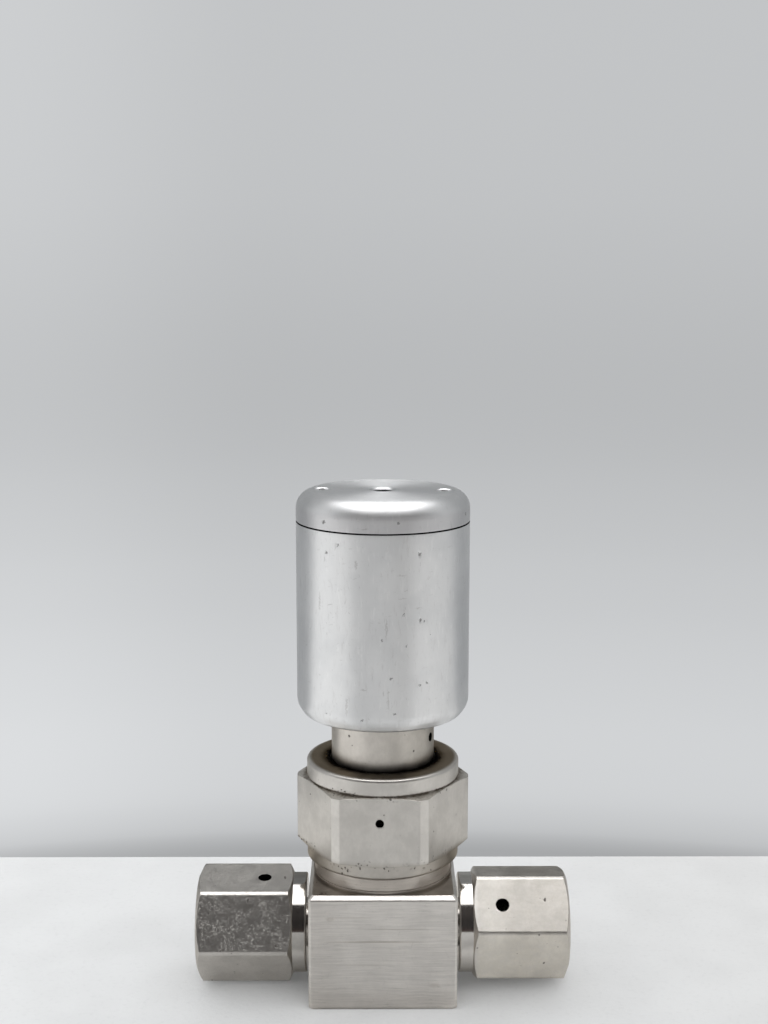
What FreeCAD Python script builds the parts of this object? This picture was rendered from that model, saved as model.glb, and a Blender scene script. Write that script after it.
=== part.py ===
"""Air-operated, bellows-sealed needle valve with two female face-seal end nuts.

All sizes are in millimetres. The frame's origin is the middle of the
block's underside: +Z runs up the stem, and the flow passage runs along X.
The valve is drawn closed, which is how its springs hold it.
"""
import FreeCAD, Part
import math
import os

import Sketcher

VECTOR = FreeCAD.Vector
Z_AXIS = VECTOR(0, 0, 1)

SIZES = {
    # The block, with the flow passages, the seat and the bellows chamber
    "block_width": 27.2,
    "block_height": 21.8,
    "block_top_chamfer": 0.7,
    "block_side_chamfer": 0.45,
    "block_foot_chamfer": 0.3,
    "boss_foot_radius": 12.5,
    "boss_ring_bottom": 22.3,
    "boss_ring_radius": 13.05,
    "boss_ring_top": 22.45,
    "boss_radius": 12.75,
    "boss_top": 25.05,
    "boss_thread_radius": 12.2,
    "boss_thread_top": 34.2,
    "flow_height": 11.0,
    "flow_radius": 2.1,
    "orifice_radius": 2.05,
    "orifice_floor": 9.0,
    "seat_land_radius": 3.2,
    "seat_cone_radius": 2.6,
    "seat_cone_depth": 0.95,
    "seat_top": 15.2,
    "chamber_radius": 7.6,
    "chamber_floor": 13.6,
    "riser_place": 5.4,
    "riser_radius": 1.8,
    "mount_hole_radius": 2.1,
    "mount_hole_depth": 6.0,
    "mount_hole_spacing": 16.0,
    # The two welded glands that the end nuts turn and slide on
    "gland_neck_radius": 4.5,
    "gland_flange_radius": 5.95,
    "gland_flange_back": 30.45,
    "gland_flange_face": 33.85,
    "gland_bead_radius": 3.6,
    "gland_bead_height": 0.5,
    "gland_bead_foot": 0.6,
    "gland_bead_side": 0.45,
    "gland_bead_side_height": 0.3,
    "gland_bead_crest": 0.175,
    "gland_bead_sink": 0.1,
    "gland_bore_radius": 2.3,
    # The end nuts: 9/16-18 UNF inside, 3/4 inch across flats
    "union_back": 14.2,
    "union_shoulder": 16.82,
    "union_mouth": 34.75,
    "union_collar_radius": 9.25,
    "union_collar_round": 0.35,
    "union_turned_radius": 10.8,
    "union_across_flats": 19.05,
    "union_mouth_face_radius": 8.9,
    "union_mouth_cone": 0.9,
    "union_back_cone": 0.75,
    "union_wall": 5.15,
    "union_hole_radius": 4.7,
    "union_thread_radius": 6.38,
    "union_thread_depth": 0.76,
    "union_thread_pitch": 1.411,
    "union_thread_start": 24.0,
    "union_thread_turns": 7,
    "union_lead_in": 0.8,
    "test_port_radius": 1.2,
    "test_port_place": 22.2,
    "left_nut_turn": -8.0,
    "right_nut_turn": 48.0,
    "thrust_ring_length": 1.0,
    "thrust_ring_bore": 4.6,
    "thrust_ring_radius": 6.2,
    # The bonnet nut: 1 1/8 inch across flats
    "nut_bottom": 25.2,
    "nut_foot_cone_bottom": 27.65,
    "nut_hex_bottom": 28.2,
    "nut_hex_top": 40.25,
    "nut_head_cone_top": 40.75,
    "nut_top": 44.0,
    "nut_collar_radius": 14.15,
    "nut_turned_radius": 16.0,
    "nut_across_flats": 28.58,
    "nut_rim_round": 0.45,
    "nut_foot_chamfer": 0.3,
    "nut_hole_radius": 9.85,
    "nut_ceiling": 40.4,
    "nut_thread_radius": 12.28,
    "nut_thread_depth": 0.65,
    "nut_thread_pitch": 1.27,
    "nut_thread_start": 26.3,
    "nut_thread_turns": 6,
    "leak_port_radius": 0.78,
    "leak_port_height": 35.9,
    "nut_turn": -2.4,
    # The bonnet, its bellows and the stem's guide and seal
    "bonnet_bottom": 36.8,
    "bonnet_flange_radius": 12.0,
    "neck_radius": 9.525,
    "spigot_radius": 8.2,
    "spigot_top": 57.0,
    "bonnet_cavity_radius": 7.0,
    "bonnet_cavity_top": 49.8,
    "stem_hole_radius": 2.9,
    "guide_bore_radius": 4.2,
    "guide_bore_floor": 51.0,
    "guide_top": 54.0,
    "guide_running_gap": 0.03,
    "vent_radius": 0.85,
    "vent_height": 48.7,
    "vent_turn": 67.0,
    "gasket_top": 35.2,
    "gasket_radius": 10.4,
    "bellows_bore": 4.3,
    "bellows_radius": 6.3,
    "bellows_wall": 0.25,
    "bellows_bottom": 22.0,
    "bellows_folds": 11.0,
    "end_ring_bottom": 19.5,
    "end_ring_radius": 5.5,
    "rod_seal_height": 55.0,
    "seal_washer_bottom": 56.0,
    # The stem and its soft conical tip
    "stem_radius": 2.5,
    "stem_bottom": 17.8,
    "stem_shoulder": 57.9,
    "stud_radius": 1.9,
    "stud_top": 60.0,
    "tip_radius": 3.0,
    "tip_point": 12.2,
    "tip_shank_radius": 1.2,
    "tip_shank_top": 20.0,
    "tip_seat_gap": 0.03,
    # The actuator housing
    "housing_radius": 15.875,
    "housing_bottom": 52.75,
    "housing_floor": 57.4,
    "housing_cone_width": 1.4,
    "housing_cone_height": 2.1,
    "cylinder_radius": 13.8,
    "cylinder_top": 70.0,
    "spring_room_radius": 14.25,
    "cap_thread_bottom": 83.0,
    "cap_thread_radius": 14.6,
    "seam_height": 88.7,
    "seam_chamfer": 0.06,
    "housing_seal_height": 54.9,
    "housing_seal_groove": 9.7,
    "seal_section": 0.6,
    # The piston, its hollow rod and the parts that ride with them
    "piston_bottom": 58.2,
    "piston_top": 64.2,
    "piston_radius": 13.73,
    "rod_radius": 3.0,
    "rod_bore_radius": 1.3,
    "rod_bore_floor": 60.35,
    "rod_flange_radius": 4.4,
    "rod_flange_top": 59.4,
    "rod_top": 86.2,
    "rod_port_height": 61.2,
    "rod_port_radius": 0.6,
    "air_groove_radius": 5.9,
    "air_groove_half": 0.8,
    "air_hole_place": 5.25,
    "air_hole_radius": 0.6,
    "piston_seal_height": 60.9,
    "piston_seal_section": 0.85,
    "piston_seal_groove": 11.9,
    "band_bottom": 62.6,
    "band_height": 1.0,
    "band_inner_radius": 13.1,
    "band_radius": 13.78,
    "piston_nut_flats": 10.0,
    "piston_nut_top": 67.2,
    "stop_radius": 5.0,
    "stroke": 1.6,
    # The closing springs and their seat
    "outer_spring_radius": 10.9,
    "outer_spring_wire": 1.2,
    "outer_spring_turns": 5.0,
    "inner_spring_radius": 7.6,
    "inner_spring_wire": 0.9,
    "inner_spring_turns": 6.0,
    "spring_seat_bottom": 88.1,
    "spring_seat_bore": 6.0,
    "spring_seat_radius": 12.4,
    "spring_gap": 0.02,
    # The actuator cap
    "cap_top": 94.25,
    "cap_fillet": 3.2,
    "cap_underside": 88.9,
    "cap_skirt_radius": 14.55,
    "cap_skirt_bore": 12.9,
    "cap_skirt_bottom": 83.2,
    "hub_radius": 5.6,
    "hub_bottom": 80.0,
    "hub_bore_radius": 3.05,
    "hub_bore_top": 88.4,
    "air_port_radius": 2.1,
    "air_port_mouth_radius": 2.5,
    "air_port_mouth_depth": 0.4,
    "spanner_hole_radius": 1.45,
    "spanner_hole_place": 11.2,
    "spanner_hole_depth": 3.0,
    "cap_turn": -4.0,
    "cap_seal_height": 84.7,
    "cap_seal_groove": 13.3,
    "cap_rod_seal_height": 82.6,
    "cap_rod_seal_groove": 4.3,
}


class Size(float):
    """A number that keeps the sheet formula it is worked out by."""

    def __new__(cls, number, formula=None):
        size = super().__new__(cls, number)
        size.formula = formula or repr(float(number))
        return size

    def joined(self, sign, other, number):
        other = other if isinstance(other, Size) else Size(other)
        return Size(number, f"({self.formula} {sign} {other.formula})")

    def __add__(self, other):
        return self.joined("+", other, float(self) + float(other))

    def __sub__(self, other):
        return self.joined("-", other, float(self) - float(other))

    def __mul__(self, other):
        return self.joined("*", other, float(self) * float(other))

    def __truediv__(self, other):
        return self.joined("/", other, float(self) / float(other))

    def __neg__(self):
        return self * -1


class Sheet:
    """The document's spreadsheet: one named cell for each driving dimension."""

    def __init__(self, doc):
        cells = doc.addObject("Spreadsheet::Sheet", "Sizes")
        for row, (name, number) in enumerate(SIZES.items(), start=1):
            cells.set(f"A{row}", name)
            cells.set(f"B{row}", str(number))
            cells.setAlias(f"B{row}", name)
            setattr(self, name, Size(number, f"Sizes.{name}"))
        doc.recompute()


DOC = FreeCAD.newDocument("needle_valve")
S = Sheet(DOC)


# ---------------------------------------------------------------- drawing tools

def bind(thing, prop, size):
    """Set a property, and bind it to the sheet where the size comes from there."""
    thing.setExpression(prop, size.formula if isinstance(size, Size) else repr(float(size)))


def new_body(label):
    body = DOC.addObject("PartDesign::Body", label)
    body.Label = label
    return body


def new_sketch(body, name, plane, lift=None):
    """A sketch on one of the body's own origin planes, lifted along its normal."""
    sketch = body.newObject("Sketcher::SketchObject", name)
    support = next(item for item in body.Origin.OriginFeatures if item.Role == plane)
    sketch.AttachmentSupport = [(support, "")]
    sketch.MapMode = "FlatFace"
    if lift is not None:
        sketch.AttachmentOffset = FreeCAD.Placement(VECTOR(0, 0, float(lift)), FreeCAD.Rotation())
        bind(sketch, ".AttachmentOffset.Base.z", lift)
    return sketch


def pin_point(sketch, curve, point, across, up):
    """Fix one point of a sketch curve at two sizes measured from the origin."""
    for kind, size in (("DistanceX", across), ("DistanceY", up)):
        index = sketch.addConstraint(Sketcher.Constraint(kind, -1, 1, curve, point, float(size)))
        bind(sketch, f"Constraints[{index}]", size)


def draw_outline(sketch, corners):
    """A closed outline of straight sides through corners given as (across, up)."""
    places = [VECTOR(float(across), float(up), 0) for across, up in corners]
    first = sketch.GeometryCount
    for place, following in zip(places, places[1:] + places[:1]):
        sketch.addGeometry(Part.LineSegment(place, following))
    count = len(corners)
    for side, (across, up) in enumerate(corners):
        before = first + (side - 1) % count
        sketch.addConstraint(Sketcher.Constraint("Coincident", before, 2, first + side, 1))
        pin_point(sketch, first + side, 1, across, up)


def draw_circle(sketch, across, up, radius):
    centre = VECTOR(float(across), float(up), 0)
    curve = sketch.addGeometry(Part.Circle(centre, Z_AXIS, float(radius)))
    pin_point(sketch, curve, 3, across, up)
    index = sketch.addConstraint(Sketcher.Constraint("Radius", curve, float(radius)))
    bind(sketch, f"Constraints[{index}]", radius)


def turn(body, name, corners, cut=False):
    """Turn an outline of (radius, height) corners about the body's Z axis."""
    sketch = new_sketch(body, name + "_outline", "XZ_Plane")
    draw_outline(sketch, corners)
    kind = "PartDesign::Groove" if cut else "PartDesign::Revolution"
    feature = body.newObject(kind, name)
    feature.Profile = sketch
    feature.ReferenceAxis = (sketch, ["V_Axis"])
    feature.Angle = 360.0
    return checked(body, feature, cut)


def ring(body, name, inner, outer, low, high, cut=False):
    """A plain ring, or with cut a ring-shaped groove or bore."""
    return turn(body, name, [(inner, low), (outer, low), (outer, high), (inner, high)], cut)


def checked(body, feature, cut):
    """Recompute a feature and make sure that it added or removed material as meant."""
    before = body.Shape.Volume if body.Shape.Solids else 0.0
    body.Tip = feature
    DOC.recompute()
    change = feature.Shape.Volume - before
    if (change > -1e-6) if cut else (change < 1e-6):
        raise RuntimeError(f"{body.Label}.{feature.Name} changed the volume by {change:.4f}")
    return feature


def drill(body, name, plane, spots, radius, length, lift=None, away=False, both=False):
    """Drill round holes at spots on a plane, against its normal or away along it."""
    sketch = new_sketch(body, name + "_circles", plane, lift)
    for across, up in spots:
        draw_circle(sketch, across, up, radius)
    pocket = body.newObject("PartDesign::Pocket", name)
    pocket.Profile = sketch
    pocket.Reversed = away
    pocket.Midplane = both
    bind(pocket, "Length", length)
    return checked(body, pocket, cut=True)


def mill_hexagon(body, name, across_flats, turned_radius, low, high, first_corner=30):
    """Mill six flats on a turned bar by cutting all that lies outside a hexagon."""
    sketch = new_sketch(body, name + "_flats", "XY_Plane", low)
    draw_circle(sketch, 0, 0, turned_radius + 1)
    corner_radius = across_flats / math.sqrt(3)
    corners = []
    for step in range(6):
        angle = math.radians(60 * step + first_corner)
        corners.append((corner_radius * math.cos(angle), corner_radius * math.sin(angle)))
    draw_outline(sketch, corners)
    pocket = body.newObject("PartDesign::Pocket", name)
    pocket.Profile = sketch
    pocket.Reversed = True
    bind(pocket, "Length", high - low)
    return checked(body, pocket, cut=True)


THREAD_MOUTH = 0.4375
THREAD_FLOOR = 0.1
THREAD_OVERCUT = 0.1


def cut_thread(body, name, radius, depth, pitch, start, turns):
    """Thread rings of 60 degree section, one pitch apart; depth below 0 cuts inwards."""
    half = pitch * THREAD_MOUTH
    floor_half = pitch * THREAD_FLOOR
    inside = radius - depth * THREAD_OVERCUT
    groove = turn(body, name, [
        (inside, start - half), (radius + depth, start - floor_half),
        (radius + depth, start + floor_half), (inside, start + half)], cut=True)
    pattern = body.newObject("PartDesign::LinearPattern", name + "_turns")
    pattern.Originals = [groove]
    pattern.Direction = (groove.Profile[0], ["V_Axis"])
    bind(pattern, "Occurrences", turns)
    bind(pattern, "Length", pitch * (turns - 1))
    return checked(body, pattern, cut=True)


def circle_edges(shape, radius, height):
    """Names of a shape's circular edges about Z with this radius at this height."""
    names = []
    for index, edge in enumerate(shape.Edges, start=1):
        curve = edge.Curve
        if isinstance(curve, Part.Circle) and abs(curve.Radius - radius) < 1e-4:
            centre = curve.Center
            if math.hypot(centre.x, centre.y) < 1e-4 and abs(centre.z - height) < 1e-4:
                names.append(f"Edge{index}")
    return names


def dress(body, name, kind, base, edges, size):
    """Round or chamfer edges of a feature."""
    feature = body.newObject("PartDesign::" + kind, name)
    feature.Base = (base, edges)
    bind(feature, "Radius" if kind == "Fillet" else "Size", size)
    return checked(body, feature, cut=True)


def seal_ring(label, section, radius, height):
    """An O-ring about Z: its section's radius, its outer radius and its height."""
    torus = DOC.addObject("Part::Torus", label)
    torus.Label = label
    bind(torus, "Radius1", radius - section)
    bind(torus, "Radius2", section)
    bind(torus, ".Placement.Base.z", height)
    return torus


def plain_ring(label, inner, outer, low, high):
    """A washer, bush or gasket: one turned ring in a body of its own."""
    body = new_body(label)
    ring(body, "ring", inner, outer, low, high)
    return body


# ---------------------------------------------------------------- block and glands

def valve_body():
    """The square block with its threaded boss, flow passages, seat and chamber."""
    body = new_body("valve_body")
    half = S.block_width / 2
    sketch = new_sketch(body, "block_square", "XY_Plane")
    draw_outline(sketch, [(-half, -half), (half, -half), (half, half), (-half, half)])
    pad = body.newObject("PartDesign::Pad", "block")
    pad.Profile = sketch
    bind(pad, "Length", S.block_height)
    checked(body, pad, cut=False)

    def edges_where(shape, test):
        return [f"Edge{i}" for i, edge in enumerate(shape.Edges, start=1) if test(edge.BoundBox)]

    uprights = edges_where(pad.Shape, lambda box: box.ZLength > 1)
    sides = dress(body, "side_chamfers", "Chamfer", pad, uprights, S.block_side_chamfer)
    top_edges = edges_where(sides.Shape, lambda box: box.ZMin > float(S.block_height) - 1e-4)
    top = dress(body, "top_chamfers", "Chamfer", sides, top_edges, S.block_top_chamfer)
    foot_edges = edges_where(top.Shape, lambda box: box.ZMax < 1e-4)
    dress(body, "foot_chamfers", "Chamfer", top, foot_edges, S.block_foot_chamfer)

    turn(body, "boss", [
        (0, S.block_height - 1), (S.boss_foot_radius, S.block_height - 1),
        (S.boss_foot_radius, S.boss_ring_bottom), (S.boss_ring_radius, S.boss_ring_bottom),
        (S.boss_ring_radius, S.boss_ring_top), (S.boss_radius, S.boss_ring_top),
        (S.boss_radius, S.boss_top), (S.boss_thread_radius, S.boss_top),
        (S.boss_thread_radius, S.boss_thread_top), (0, S.boss_thread_top)])
    cut_thread(body, "boss_thread", S.boss_thread_radius, -S.nut_thread_depth,
               S.nut_thread_pitch, S.nut_thread_start, S.nut_thread_turns)
    turn(body, "bellows_chamber", [
        (0, S.seat_top), (S.seat_land_radius, S.seat_top),
        (S.seat_land_radius, S.chamber_floor), (S.chamber_radius, S.chamber_floor),
        (S.chamber_radius, S.boss_thread_top + 1), (0, S.boss_thread_top + 1)], cut=True)
    turn(body, "orifice_and_seat", [
        (0, S.orifice_floor), (S.orifice_radius, S.orifice_floor),
        (S.orifice_radius, S.seat_top - S.seat_cone_depth),
        (S.seat_cone_radius, S.seat_top), (0, S.seat_top)], cut=True)
    drill(body, "inlet_bore", "YZ_Plane", [(0, S.flow_height)], S.flow_radius, half + 1)
    drill(body, "outlet_bore", "YZ_Plane", [(0, S.flow_height)], S.flow_radius,
          half - S.riser_place + 1, lift=S.riser_place, away=True)
    drill(body, "outlet_riser", "XY_Plane", [(S.riser_place, 0)], S.riser_radius,
          S.chamber_floor - S.flow_height + 0.3, lift=S.flow_height, away=True)
    drill(body, "mounting_holes", "XY_Plane",
          [(0, S.mount_hole_spacing / 2), (0, -S.mount_hole_spacing / 2)],
          S.mount_hole_radius, S.mount_hole_depth, away=True)
    return body


def aim_sideways(body, side, turned=0.0):
    """Lay a body that is drawn along +Z down onto the flow axis, towards +X or -X."""
    lay_down = FreeCAD.Rotation(VECTOR(0, 1, 0), 90 * side)
    spin = FreeCAD.Rotation(Z_AXIS, turned)
    body.Placement = FreeCAD.Placement(VECTOR(0, 0, 0), lay_down.multiply(spin))
    bind(body, ".Placement.Base.z", S.flow_height)


def gland(label, side):
    """A tube stub with a flange whose raised bead seals against the mating gland."""
    body = new_body(label)
    back = S.block_width / 2
    turn(body, "tube_and_flange", [
        (S.gland_bore_radius, back), (S.gland_neck_radius, back),
        (S.gland_neck_radius, S.gland_flange_back), (S.gland_flange_radius, S.gland_flange_back),
        (S.gland_flange_radius, S.gland_flange_face), (S.gland_bore_radius, S.gland_flange_face)])
    middle = S.gland_bead_radius
    foot = S.gland_flange_face - S.gland_bead_sink
    side_top = S.gland_flange_face + S.gland_bead_side_height
    crest = S.gland_flange_face + S.gland_bead_height
    turn(body, "sealing_bead", [
        (middle - S.gland_bead_foot, foot), (middle + S.gland_bead_foot, foot),
        (middle + S.gland_bead_side, side_top), (middle + S.gland_bead_crest, crest),
        (middle - S.gland_bead_crest, crest), (middle - S.gland_bead_side, side_top)])
    aim_sideways(body, side)
    return body


def union_nut(label, side, turned):
    """A female end nut: turned collar, milled hexagon, inside thread and test ports."""
    body = new_body(label)
    seat = S.union_back + S.union_wall
    blank = turn(body, "turned_blank", [
        (S.union_hole_radius, S.union_back), (S.union_collar_radius, S.union_back),
        (S.union_collar_radius, S.union_shoulder),
        (S.union_turned_radius, S.union_shoulder + S.union_back_cone),
        (S.union_turned_radius, S.union_mouth - S.union_mouth_cone),
        (S.union_mouth_face_radius, S.union_mouth),
        (S.union_thread_radius + S.union_lead_in, S.union_mouth),
        (S.union_thread_radius, S.union_mouth - S.union_lead_in),
        (S.union_thread_radius, seat), (S.union_hole_radius, seat)])
    rim = circle_edges(blank.Shape, S.union_collar_radius, S.union_back)
    dress(body, "collar_round", "Fillet", blank, rim, S.union_collar_round)
    mill_hexagon(body, "hexagon", S.union_across_flats, S.union_turned_radius,
                 S.union_shoulder, S.union_mouth)
    relief_end = S.union_thread_start - S.union_thread_pitch / 2
    ring(body, "thread_relief", S.union_thread_radius - 0.5,
         S.union_thread_radius + S.union_thread_depth, seat, relief_end, cut=True)
    cut_thread(body, "thread", S.union_thread_radius, S.union_thread_depth,
               S.union_thread_pitch, S.union_thread_start, S.union_thread_turns)
    drill(body, "test_ports", "YZ_Plane", [(0, S.test_port_place)], S.test_port_radius,
          S.union_turned_radius * 2 + 2, both=True)
    aim_sideways(body, side, turned)
    return body


def thrust_ring(label, side):
    """The slip ring between an end nut's inner shoulder and its gland's flange."""
    low = S.union_back + S.union_wall
    body = plain_ring(label, S.thrust_ring_bore, S.thrust_ring_radius,
                      low, low + S.thrust_ring_length)
    aim_sideways(body, side)
    return body


# ---------------------------------------------------------------- bonnet and stem

def bonnet_nut():
    """The large hexagon nut that clamps the bonnet onto the block."""
    body = new_body("bonnet_nut")
    blank = turn(body, "turned_blank", [
        (S.nut_thread_radius, S.nut_bottom), (S.nut_collar_radius, S.nut_bottom),
        (S.nut_collar_radius, S.nut_foot_cone_bottom), (S.nut_turned_radius, S.nut_hex_bottom),
        (S.nut_turned_radius, S.nut_hex_top), (S.nut_collar_radius, S.nut_head_cone_top),
        (S.nut_collar_radius, S.nut_top), (S.nut_hole_radius, S.nut_top),
        (S.nut_hole_radius, S.nut_ceiling), (S.nut_thread_radius, S.nut_ceiling)])
    rim = circle_edges(blank.Shape, S.nut_collar_radius, S.nut_top)
    rounded = dress(body, "rim_round", "Fillet", blank, rim, S.nut_rim_round)
    foot = circle_edges(rounded.Shape, S.nut_collar_radius, S.nut_bottom)
    dress(body, "foot_chamfer", "Chamfer", rounded, foot, S.nut_foot_chamfer)
    mill_hexagon(body, "hexagon", S.nut_across_flats, S.nut_turned_radius,
                 S.nut_foot_cone_bottom, S.nut_head_cone_top, first_corner=0)
    cut_thread(body, "thread", S.nut_thread_radius, S.nut_thread_depth,
               S.nut_thread_pitch, S.nut_thread_start, S.nut_thread_turns)
    drill(body, "leak_port", "XZ_Plane", [(0, S.leak_port_height)], S.leak_port_radius,
          S.nut_turned_radius + 1, away=True)
    body.Placement = FreeCAD.Placement(VECTOR(), FreeCAD.Rotation(Z_AXIS, float(S.nut_turn)))
    return body


def bonnet():
    """The flanged neck that holds the bellows, guides the stem and carries the actuator."""
    body = new_body("bonnet")
    turn(body, "turned_neck", [
        (S.bonnet_cavity_radius, S.bonnet_bottom), (S.bonnet_flange_radius, S.bonnet_bottom),
        (S.bonnet_flange_radius, S.nut_ceiling), (S.neck_radius, S.nut_ceiling),
        (S.neck_radius, S.housing_bottom), (S.spigot_radius, S.housing_bottom),
        (S.spigot_radius, S.spigot_top), (S.guide_bore_radius, S.spigot_top),
        (S.guide_bore_radius, S.guide_bore_floor), (S.stem_hole_radius, S.guide_bore_floor),
        (S.stem_hole_radius, S.bonnet_cavity_top), (S.bonnet_cavity_radius, S.bonnet_cavity_top)])
    drill(body, "vent_hole", "XZ_Plane", [(0, S.vent_height)], S.vent_radius,
          S.neck_radius + 1, away=True)
    body.Placement = FreeCAD.Placement(VECTOR(), FreeCAD.Rotation(Z_AXIS, float(S.vent_turn)))
    return body


def bellows():
    """Thin welded leaves: one fold, repeated up to the flange that they hang from."""
    body = new_body("bellows")
    fold = (S.gasket_top - S.bellows_bottom) / S.bellows_folds
    low = S.bellows_bottom
    wall = S.bellows_wall
    middle = low + fold / 2
    first = turn(body, "fold", [
        (S.bellows_bore, low), (S.bellows_bore + wall * 1.5, low),
        (S.bellows_radius, middle - wall / 2), (S.bellows_radius, middle + wall / 2),
        (S.bellows_bore + wall * 1.5, low + fold), (S.bellows_bore, low + fold),
        (S.bellows_bore, low + fold - wall / 2), (S.bellows_radius - wall * 1.5, middle),
        (S.bellows_bore, low + wall / 2)])
    pattern = body.newObject("PartDesign::LinearPattern", "folds")
    pattern.Originals = [first]
    pattern.Direction = (first.Profile[0], ["V_Axis"])
    pattern.Occurrences = int(S.bellows_folds)
    bind(pattern, "Length", fold * (S.bellows_folds - 1))
    checked(body, pattern, cut=False)
    return body


def valve_stem():
    """The straight stem: a socket for the tip below and a stud for the rod above."""
    body = new_body("valve_stem")
    turn(body, "turned_stem", [
        (0, S.tip_shank_top), (S.tip_shank_radius, S.tip_shank_top),
        (S.tip_shank_radius, S.stem_bottom), (S.stem_radius, S.stem_bottom),
        (S.stem_radius, S.stem_shoulder), (S.stud_radius, S.stem_shoulder),
        (S.stud_radius, S.stud_top), (0, S.stud_top)])
    return body


def stem_tip():
    """The soft conical point that closes the orifice."""
    body = new_body("stem_tip")
    slope = (S.seat_cone_radius - S.orifice_radius) / S.seat_cone_depth

    def cone_radius(height):
        return S.seat_cone_radius - S.tip_seat_gap + (height - S.seat_top) * slope

    shoulder = S.seat_top + (S.tip_radius - S.seat_cone_radius + S.tip_seat_gap) / slope
    turn(body, "turned_tip", [
        (0, S.tip_point), (cone_radius(S.tip_point), S.tip_point),
        (S.tip_radius, shoulder), (S.tip_radius, S.stem_bottom),
        (S.tip_shank_radius, S.stem_bottom), (S.tip_shank_radius, S.tip_shank_top),
        (0, S.tip_shank_top)])
    return body


# ---------------------------------------------------------------- actuator

def actuator_housing():
    """The lower cup of the actuator, with the cylinder that the piston runs in."""
    body = new_body("actuator_housing")
    cup = turn(body, "cup", [
        (S.spigot_radius, S.housing_bottom),
        (S.housing_radius - S.housing_cone_width, S.housing_bottom),
        (S.housing_radius, S.housing_bottom + S.housing_cone_height),
        (S.housing_radius, S.seam_height), (S.cap_thread_radius, S.seam_height),
        (S.cap_thread_radius, S.cap_thread_bottom), (S.spring_room_radius, S.cap_thread_bottom),
        (S.spring_room_radius, S.cylinder_top), (S.cylinder_radius, S.cylinder_top),
        (S.cylinder_radius, S.housing_floor), (S.spigot_radius, S.housing_floor)])
    rim = circle_edges(cup.Shape, S.housing_radius, S.seam_height)
    dress(body, "seam_edge", "Chamfer", cup, rim, S.seam_chamfer)
    ring(body, "seal_groove", S.spigot_radius - 0.5, S.housing_seal_groove,
         S.housing_seal_height - S.seal_section - 0.15,
         S.housing_seal_height + S.seal_section + 0.15, cut=True)
    return body


def actuator_cap():
    """The screwed cap: air port, two spanner holes, and the hub that guides the rod."""
    body = new_body("actuator_cap")
    disc = turn(body, "turned_cap", [
        (S.air_port_radius, S.cap_top - S.air_port_mouth_depth),
        (S.air_port_mouth_radius, S.cap_top), (S.housing_radius, S.cap_top),
        (S.housing_radius, S.seam_height), (S.cap_skirt_radius, S.seam_height),
        (S.cap_skirt_radius, S.cap_skirt_bottom), (S.cap_skirt_bore, S.cap_skirt_bottom),
        (S.cap_skirt_bore, S.cap_underside), (S.hub_radius, S.cap_underside),
        (S.hub_radius, S.hub_bottom), (S.hub_bore_radius, S.hub_bottom),
        (S.hub_bore_radius, S.hub_bore_top), (S.air_port_radius, S.hub_bore_top)])
    crown = circle_edges(disc.Shape, S.housing_radius, S.cap_top)
    rounded = dress(body, "crown_round", "Fillet", disc, crown, S.cap_fillet)
    rim = circle_edges(rounded.Shape, S.housing_radius, S.seam_height)
    dress(body, "seam_edge", "Chamfer", rounded, rim, S.seam_chamfer)
    ring(body, "skirt_groove", S.cap_seal_groove, S.cap_skirt_radius + 0.5,
         S.cap_seal_height - S.seal_section - 0.15,
         S.cap_seal_height + S.seal_section + 0.15, cut=True)
    ring(body, "hub_groove", S.hub_bore_radius - 0.5, S.cap_rod_seal_groove,
         S.cap_rod_seal_height - S.seal_section - 0.15,
         S.cap_rod_seal_height + S.seal_section + 0.15, cut=True)
    drill(body, "spanner_holes", "XY_Plane",
          [(S.spanner_hole_place, 0), (-S.spanner_hole_place, 0)],
          S.spanner_hole_radius, S.spanner_hole_depth, lift=S.cap_top)
    body.Placement = FreeCAD.Placement(VECTOR(), FreeCAD.Rotation(Z_AXIS, float(S.cap_turn)))
    return body


def piston():
    """The piston: seal and band grooves outside, air drillings near its bore."""
    body = new_body("piston")
    turn(body, "turned_piston", [
        (S.rod_flange_radius, S.piston_bottom), (S.piston_radius, S.piston_bottom),
        (S.piston_radius, S.piston_top), (S.rod_radius, S.piston_top),
        (S.rod_radius, S.rod_flange_top), (S.rod_flange_radius, S.rod_flange_top)])
    half = S.piston_seal_section + 0.2
    ring(body, "seal_groove", S.piston_seal_groove, S.piston_radius + 0.5,
         S.piston_seal_height - half, S.piston_seal_height + half, cut=True)
    ring(body, "band_groove", S.band_inner_radius, S.piston_radius + 0.5,
         S.band_bottom, S.band_bottom + S.band_height, cut=True)
    ring(body, "air_groove", S.rod_radius - 0.5, S.air_groove_radius,
         S.rod_port_height - S.air_groove_half, S.rod_port_height + S.air_groove_half, cut=True)
    place = S.air_hole_place
    drill(body, "air_holes", "XY_Plane", [(place, 0), (0, place), (-place, 0), (0, -place)],
          S.air_hole_radius, S.rod_port_height - S.piston_bottom, lift=S.piston_bottom, away=True)
    return body


def piston_rod():
    """The hollow rod that leads the air down from the cap's port to the piston."""
    body = new_body("piston_rod")
    turn(body, "turned_rod", [
        (S.stud_radius, S.piston_bottom), (S.rod_flange_radius, S.piston_bottom),
        (S.rod_flange_radius, S.rod_flange_top), (S.rod_radius, S.rod_flange_top),
        (S.rod_radius, S.rod_top), (S.rod_bore_radius, S.rod_top),
        (S.rod_bore_radius, S.rod_bore_floor), (0, S.rod_bore_floor),
        (0, S.stud_top), (S.stud_radius, S.stud_top)])
    drill(body, "cross_port", "YZ_Plane", [(0, S.rod_port_height)], S.rod_port_radius,
          S.rod_radius * 2 + 1, both=True)
    return body


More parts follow.
